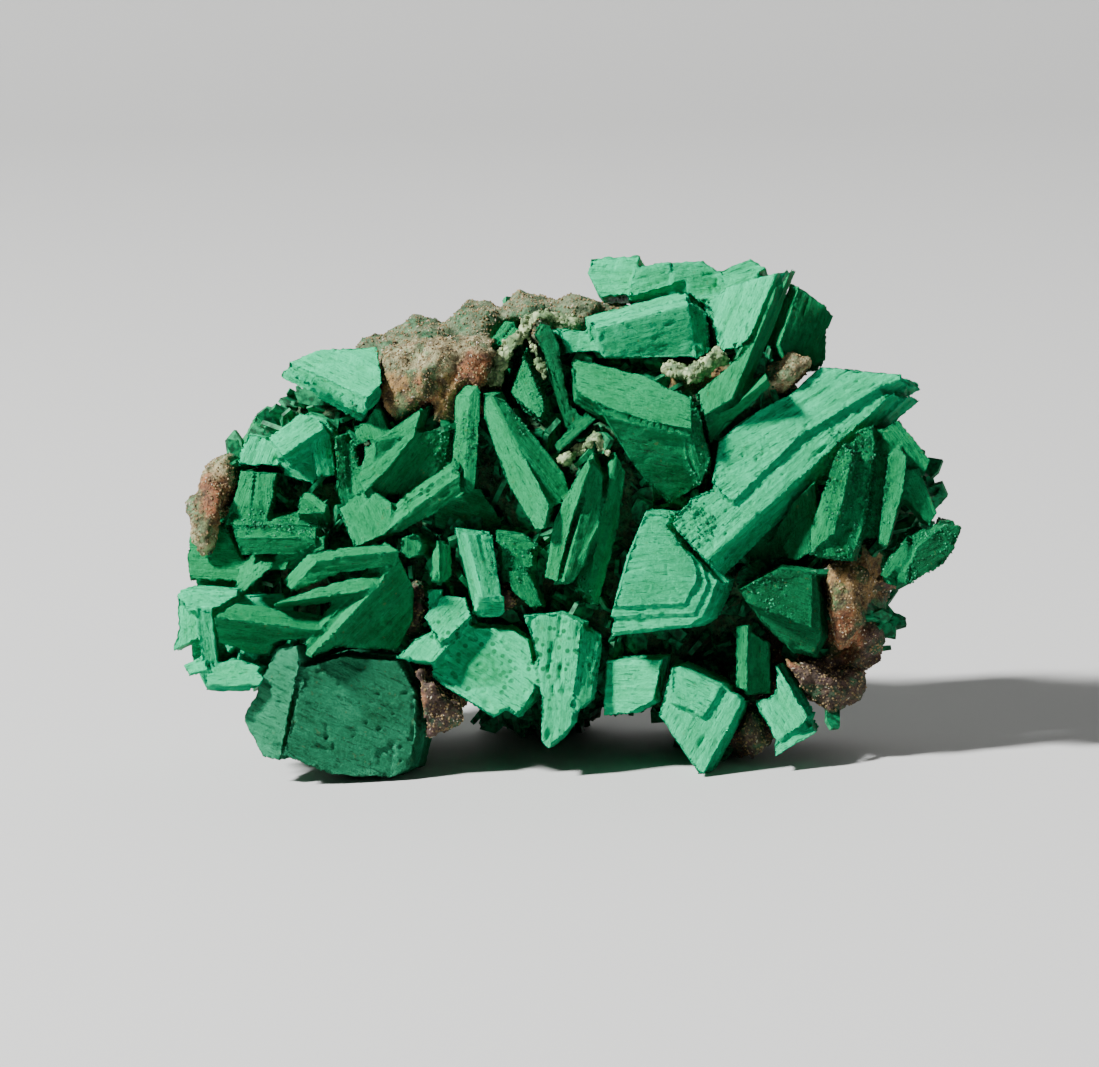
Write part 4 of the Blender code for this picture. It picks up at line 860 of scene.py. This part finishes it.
relief += KNOBS * rough_noise(places * 2.1, 330, 2) * (0.4 + 0.6 * sandy)
relief += GRIT * rough_noise(places * 3.4, 340, 1)
relief = np.clip(relief, *MATRIX_RANGE)
roughened = spots + outward * (relief * MM)[:, None]
roughened[:, 2] = np.maximum(roughened[:, 2], 0.0)
put_points(matrix.data, roughened)
matrix.data.shade_smooth()
finish_piece(matrix, GOSSAN, "matrix")


# Pale crust and nodules: chalky malachite and clay that dried into crackled lumps
CRUST_VOXEL = 0.00016

# Their relief, in millimetres, and how wide the noise opens a crack
CRUST_KNOBS = 0.42
CRUST_CRACKS = 0.24
CRUST_GRIT = 0.08
CRACK_WIDTH = 0.09

CRUSTS = []
for number, node in enumerate(("pale_crust", "centre_nodules", "upper_nodules")):
    lump = fine_skin(node, merged_shape(node), CRUST_VOXEL)
    spots = mesh_points(lump.data)
    knobs = rough_noise(spots / MM * 0.9, 400 + number, 2)
    cracks = np.exp(-(wave_noise(spots / MM * 1.5, 410 + number) / CRACK_WIDTH) ** 2)
    relief = CRUST_KNOBS * knobs - CRUST_CRACKS * cracks
    relief += CRUST_GRIT * rough_noise(spots / MM * 3.5, 420 + number)
    put_points(lump.data, spots + mesh_normals(lump.data) * (relief * MM)[:, None])
    put_values(lump.data, "whole", np.ones(len(spots)))
    lump.data.shade_smooth()
    finish_piece(lump, CHALK, node)
    CRUSTS.append(lump)


# Scatter: small crystals set on a skin where a stored mask is high, by Geometry Nodes
def crystal_mesh(name, faces, stretch):
    """A small crystal: a double pyramid with a few faces, about one unit across."""
    shape = bmesh.new()
    ring = [shape.verts.new((math.cos(a) * 0.5, math.sin(a) * 0.5, 0.0))
            for a in (2 * math.pi * i / faces for i in range(faces))]
    top = shape.verts.new((0.0, 0.0, 0.5 * stretch))
    low = shape.verts.new((0.0, 0.0, -0.5 * stretch))
    for i in range(faces):
        j = (i + 1) % faces
        shape.faces.new((ring[i], ring[j], top))
        shape.faces.new((ring[j], ring[i], low))
    return in_scene(name, shape)


def lath_mesh(name):
    """A small blade standing on its end, with a slanted tip, about one unit high."""
    shape = bmesh.new()
    low = [(-0.24, -0.07, -0.25), (0.24, -0.07, -0.25), (0.24, 0.07, -0.25), (-0.24, 0.07, -0.25)]
    top = [(-0.22, -0.06, 0.55), (0.10, -0.06, 0.75), (0.10, 0.06, 0.75), (-0.22, 0.06, 0.55)]
    side = [(0.26, -0.065, 0.45), (0.26, 0.065, 0.45)]
    a, b, c, d = (shape.verts.new(spot) for spot in low)
    e, f, g, h = (shape.verts.new(spot) for spot in top)
    i, j = (shape.verts.new(spot) for spot in side)
    for ring in ((a, b, i, f, e), (c, d, h, g, j), (b, c, j, i), (i, j, g, f), (f, g, h, e),
                 (d, a, e, h), (d, c, b, a)):
        shape.faces.new(ring)
    bmesh.ops.recalc_face_normals(shape, faces=shape.faces)
    return in_scene(name, shape)


# What the scatter is given: the label of each input and its kind
SCATTER_INPUTS = {
    "Geometry": "NodeSocketGeometry", "Crystal": "NodeSocketObject", "Density": "NodeSocketFloat",
    "Small": "NodeSocketFloat", "Large": "NodeSocketFloat", "Mask": "NodeSocketString",
    "Seed": "NodeSocketInt", "Material": "NodeSocketMaterial", "Tilt": "NodeSocketFloat",
}


def scatter_tree():
    """Points on faces by a mask, a crystal on each, realized with one material."""
    tree = bpy.data.node_groups.new("scatter_crystals", "GeometryNodeTree")
    sockets = {}
    for label, kind in SCATTER_INPUTS.items():
        socket = tree.interface.new_socket(label, in_out="INPUT", socket_type=kind)
        sockets[label] = socket.identifier
    tree.interface.new_socket("Geometry", in_out="OUTPUT", socket_type="NodeSocketGeometry")
    given = tree.nodes.new("NodeGroupInput").outputs
    out = tree.nodes.new("NodeGroupOutput").inputs

    # More points where the mask is high
    mask = tree.nodes.new("GeometryNodeInputNamedAttribute")
    link(tree, given["Mask"], mask.inputs["Name"])
    points = tree.nodes.new("GeometryNodeDistributePointsOnFaces")
    link(tree, given["Geometry"], points.inputs["Mesh"])
    many = math_node(tree, "MULTIPLY", mask.outputs["Attribute"], given["Density"])
    link(tree, many, points.inputs["Density"])
    link(tree, given["Seed"], points.inputs["Seed"])

    # A size for each crystal, and its turn about the face's normal and away from it
    size = tree.nodes.new("FunctionNodeRandomValue")
    size.data_type = "FLOAT"
    link(tree, given["Small"], size.inputs[2])
    link(tree, given["Large"], size.inputs[3])
    link(tree, given["Seed"], size.inputs["Seed"])
    tilts = tree.nodes.new("ShaderNodeCombineXYZ")
    link(tree, given["Tilt"], tilts.inputs["X"])
    link(tree, given["Tilt"], tilts.inputs["Y"])
    tilts.inputs["Z"].default_value = math.tau
    turn = tree.nodes.new("FunctionNodeRandomValue")
    turn.data_type = "FLOAT_VECTOR"
    link(tree, tilts.outputs[0], turn.inputs[1])
    link(tree, given["Seed"], turn.inputs["Seed"])
    lean = tree.nodes.new("FunctionNodeRotateRotation")
    lean.rotation_space = "LOCAL"
    link(tree, points.outputs["Rotation"], lean.inputs["Rotation"])
    link(tree, turn.outputs[0], lean.inputs["Rotate By"])

    # The crystals as one mesh
    crystal = tree.nodes.new("GeometryNodeObjectInfo")
    link(tree, given["Crystal"], crystal.inputs["Object"])
    place = tree.nodes.new("GeometryNodeInstanceOnPoints")
    link(tree, points.outputs["Points"], place.inputs["Points"])
    link(tree, crystal.outputs["Geometry"], place.inputs["Instance"])
    link(tree, lean.outputs[0], place.inputs["Rotation"])
    link(tree, size.outputs[1], place.inputs["Scale"])
    real = tree.nodes.new("GeometryNodeRealizeInstances")
    link(tree, place.outputs["Instances"], real.inputs["Geometry"])
    paint = tree.nodes.new("GeometryNodeSetMaterial")
    link(tree, real.outputs["Geometry"], paint.inputs["Geometry"])
    link(tree, given["Material"], paint.inputs["Material"])
    link(tree, paint.outputs["Geometry"], out["Geometry"])
    return tree, sockets


SCATTER, SCATTER_SOCKETS = scatter_tree()
BLUNT = crystal_mesh("blunt_crystal", 5, 1.0)
NEEDLE = crystal_mesh("needle_crystal", 4, 2.4)
LATH = lath_mesh("lath_crystal")

# What grows where: crystals per square millimetre, and their smallest and largest size in
# millimetres; tilt is the most that they lean, in radians, and all ways where none is given
BLADE_DRUSE = dict(mask="crust", crystal=BLUNT, density=7.0, small=0.10, large=0.36,
                   material=DRUSE_GREEN)
SMALL_BLADES = dict(mask="coated", crystal=LATH, density=0.42, small=1.5, large=4.8,
                    material=LATHS, tilt=0.9)
HOLLOW_DRUSE = dict(mask="coated", crystal=BLUNT, density=1.2, small=0.20, large=0.62,
                    material=DRUSE_DARK)
CRUST_CRUMBS = dict(mask="whole", crystal=BLUNT, density=2.4, small=0.16, large=0.55,
                    material=CHALK)
LIMONITE_GRAINS = dict(mask="sandy", crystal=BLUNT, density=4.8, small=0.10, large=0.36,
                       material=SAND)
CLEAR_GRAINS = dict(mask="sandy", crystal=NEEDLE, density=0.7, small=0.08, large=0.20,
                    material=SPARKLE)

# How far grown crystals may reach past the solids' box, in metres
REACH = 0.0002


def scatter(name, ground, seed, mask, crystal, density, small, large, material, tilt=math.tau):
    """A mesh of crystals on a skin, or nothing where its mask leaves no room for any."""
    grown = bpy.data.objects.new(name, ground.data.copy())
    bpy.context.scene.collection.objects.link(grown)
    nodes = grown.modifiers.new("scatter", "NODES")
    nodes.node_group = SCATTER
    values = {"Crystal": crystal, "Density": density / MM ** 2, "Small": small * MM,
              "Large": large * MM, "Mask": mask, "Seed": seed, "Material": material, "Tilt": tilt}
    for label, value in values.items():
        nodes[SCATTER_SOCKETS[label]] = value
    settle(grown)
    if not grown.data.vertices:
        bpy.data.objects.remove(grown)
        return None
    inside = np.clip(mesh_points(grown.data), np.array(CAD_LOW) - REACH, np.array(CAD_HIGH) + REACH)
    put_points(grown.data, inside)
    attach(grown, "root")
    return grown


def join_all(name, pieces):
    """Several grown meshes as one piece."""
    pieces = [piece for piece in pieces if piece]
    with bpy.context.temp_override(active_object=pieces[0], selected_editable_objects=pieces):
        bpy.ops.object.join()
    pieces[0].name = name
    pieces[0].data.name = name
    return pieces[0]


# Druse: small malachite crystals on the crusted parts of the blades
druse = [scatter(skin.name + "_d", skin, 50 + number, **BLADE_DRUSE)
         for number, skin in enumerate(BLADES)]
join_all("blade_druse", druse)

# Small blades that stand on the matrix and fill the hollows between the large ones
scatter("small_blades", matrix, 61, **SMALL_BLADES)

# Druse in the hollows: darker crystals that coat the matrix between the blades
scatter("hollow_druse", matrix, 71, **HOLLOW_DRUSE)

# Crumbs of the pale crusts
crumbs = [scatter(lump.name + "_c", lump, 76 + number, **CRUST_CRUMBS)
          for number, lump in enumerate(CRUSTS)]
join_all("crust_crumbs", crumbs)

# Grains of limonite and a few clear ones on the bare matrix
scatter("limonite_grains", matrix, 81, **LIMONITE_GRAINS)
scatter("clear_grains", matrix, 91, **CLEAR_GRAINS)
for crystal in (BLUNT, NEEDLE, LATH):
    bpy.data.objects.remove(crystal)


# Studio: a plain pale floor that bends up into a backdrop, in metres
FLOOR_HALF_WIDTH = 3.0
FLOOR_FRONT = -2.5
BEND_START = 0.9
BEND_RADIUS = 0.6
BEND_STEPS = 12
BACKDROP_TOP = 3.0
FLOOR_TINT = (0.56, 0.56, 0.55, 1.0)

# Lamps: place, size in metres and power in watts; a key from the upper left, soft fill, and a rim
LAMPS = {
    "key": ((-1.20, -0.54, 1.22), 0.22, 112.0),
    "fill": ((1.20, -1.60, 0.80), 1.20, 1.2),
    "rim": ((0.60, 1.10, 1.10), 0.80, 3.0),
}
LAMP_AIM = Vector((0.0, 0.0, 0.024))
SKY_TINT = (0.80, 0.86, 0.90, 1.0)
SKY_STRENGTH = 0.04


def pale_floor():
    """A floor that curves up into a backdrop."""
    angles = [math.pi / 2 * i / BEND_STEPS for i in range(1, BEND_STEPS + 1)]
    profile = [(FLOOR_FRONT, 0.0), (BEND_START, 0.0)]
    profile += [(BEND_START + BEND_RADIUS * math.sin(a), BEND_RADIUS - BEND_RADIUS * math.cos(a))
                for a in angles]
    profile.append((BEND_START + BEND_RADIUS, BACKDROP_TOP))
    shape = bmesh.new()
    rows = [[shape.verts.new((x, y, z)) for x in (-FLOOR_HALF_WIDTH, FLOOR_HALF_WIDTH)]
            for y, z in profile]
    for low, high in zip(rows, rows[1:]):
        shape.faces.new((low[0], low[1], high[1], high[0]))
    floor = in_scene("floor", shape)
    floor.data.shade_smooth()
    look, _, shader, _ = blank_material("floor", 0.7)
    shader.inputs["Base Color"].default_value = FLOOR_TINT
    floor.data.materials.append(look)
    return floor


def area_light(name, spot, size, power):
    """A square light aimed at the middle of the specimen."""
    data = bpy.data.lights.new(name, "AREA")
    data.shape = "SQUARE"
    data.size = size
    data.energy = power
    lamp = bpy.data.objects.new(name, data)
    bpy.context.scene.collection.objects.link(lamp)
    lamp.location = spot
    lamp.rotation_mode = "QUATERNION"
    lamp.rotation_quaternion = (LAMP_AIM - Vector(spot)).to_track_quat("-Z", "Y")
    return lamp


floor = pale_floor()
lamps = [area_light(name, *values) for name, values in LAMPS.items()]
world = bpy.data.worlds.new("studio")
world.use_nodes = True
world.node_tree.nodes["Background"].inputs["Color"].default_value = SKY_TINT
world.node_tree.nodes["Background"].inputs["Strength"].default_value = SKY_STRENGTH
bpy.context.scene.world = world


# Camera: the front view that the part was drawn in
SENSOR_WIDTH = 36.0
camera = bpy.data.objects.new("camera", bpy.data.cameras.new("camera"))
bpy.context.scene.collection.objects.link(camera)
camera.data.sensor_fit = "HORIZONTAL"
camera.data.sensor_width = SENSOR_WIDTH
camera.data.lens = SENSOR_WIDTH * VIEW_DISTANCE / (PICTURE_WIDTH * UNIT)
camera.data.clip_start = 0.02
turned = Matrix((RIGHT, UP, -FORWARD)).transposed().to_4x4()
camera.matrix_world = Matrix.Translation(SIGHT_MIDDLE - FORWARD * VIEW_DISTANCE) @ turned
bpy.context.scene.camera = camera
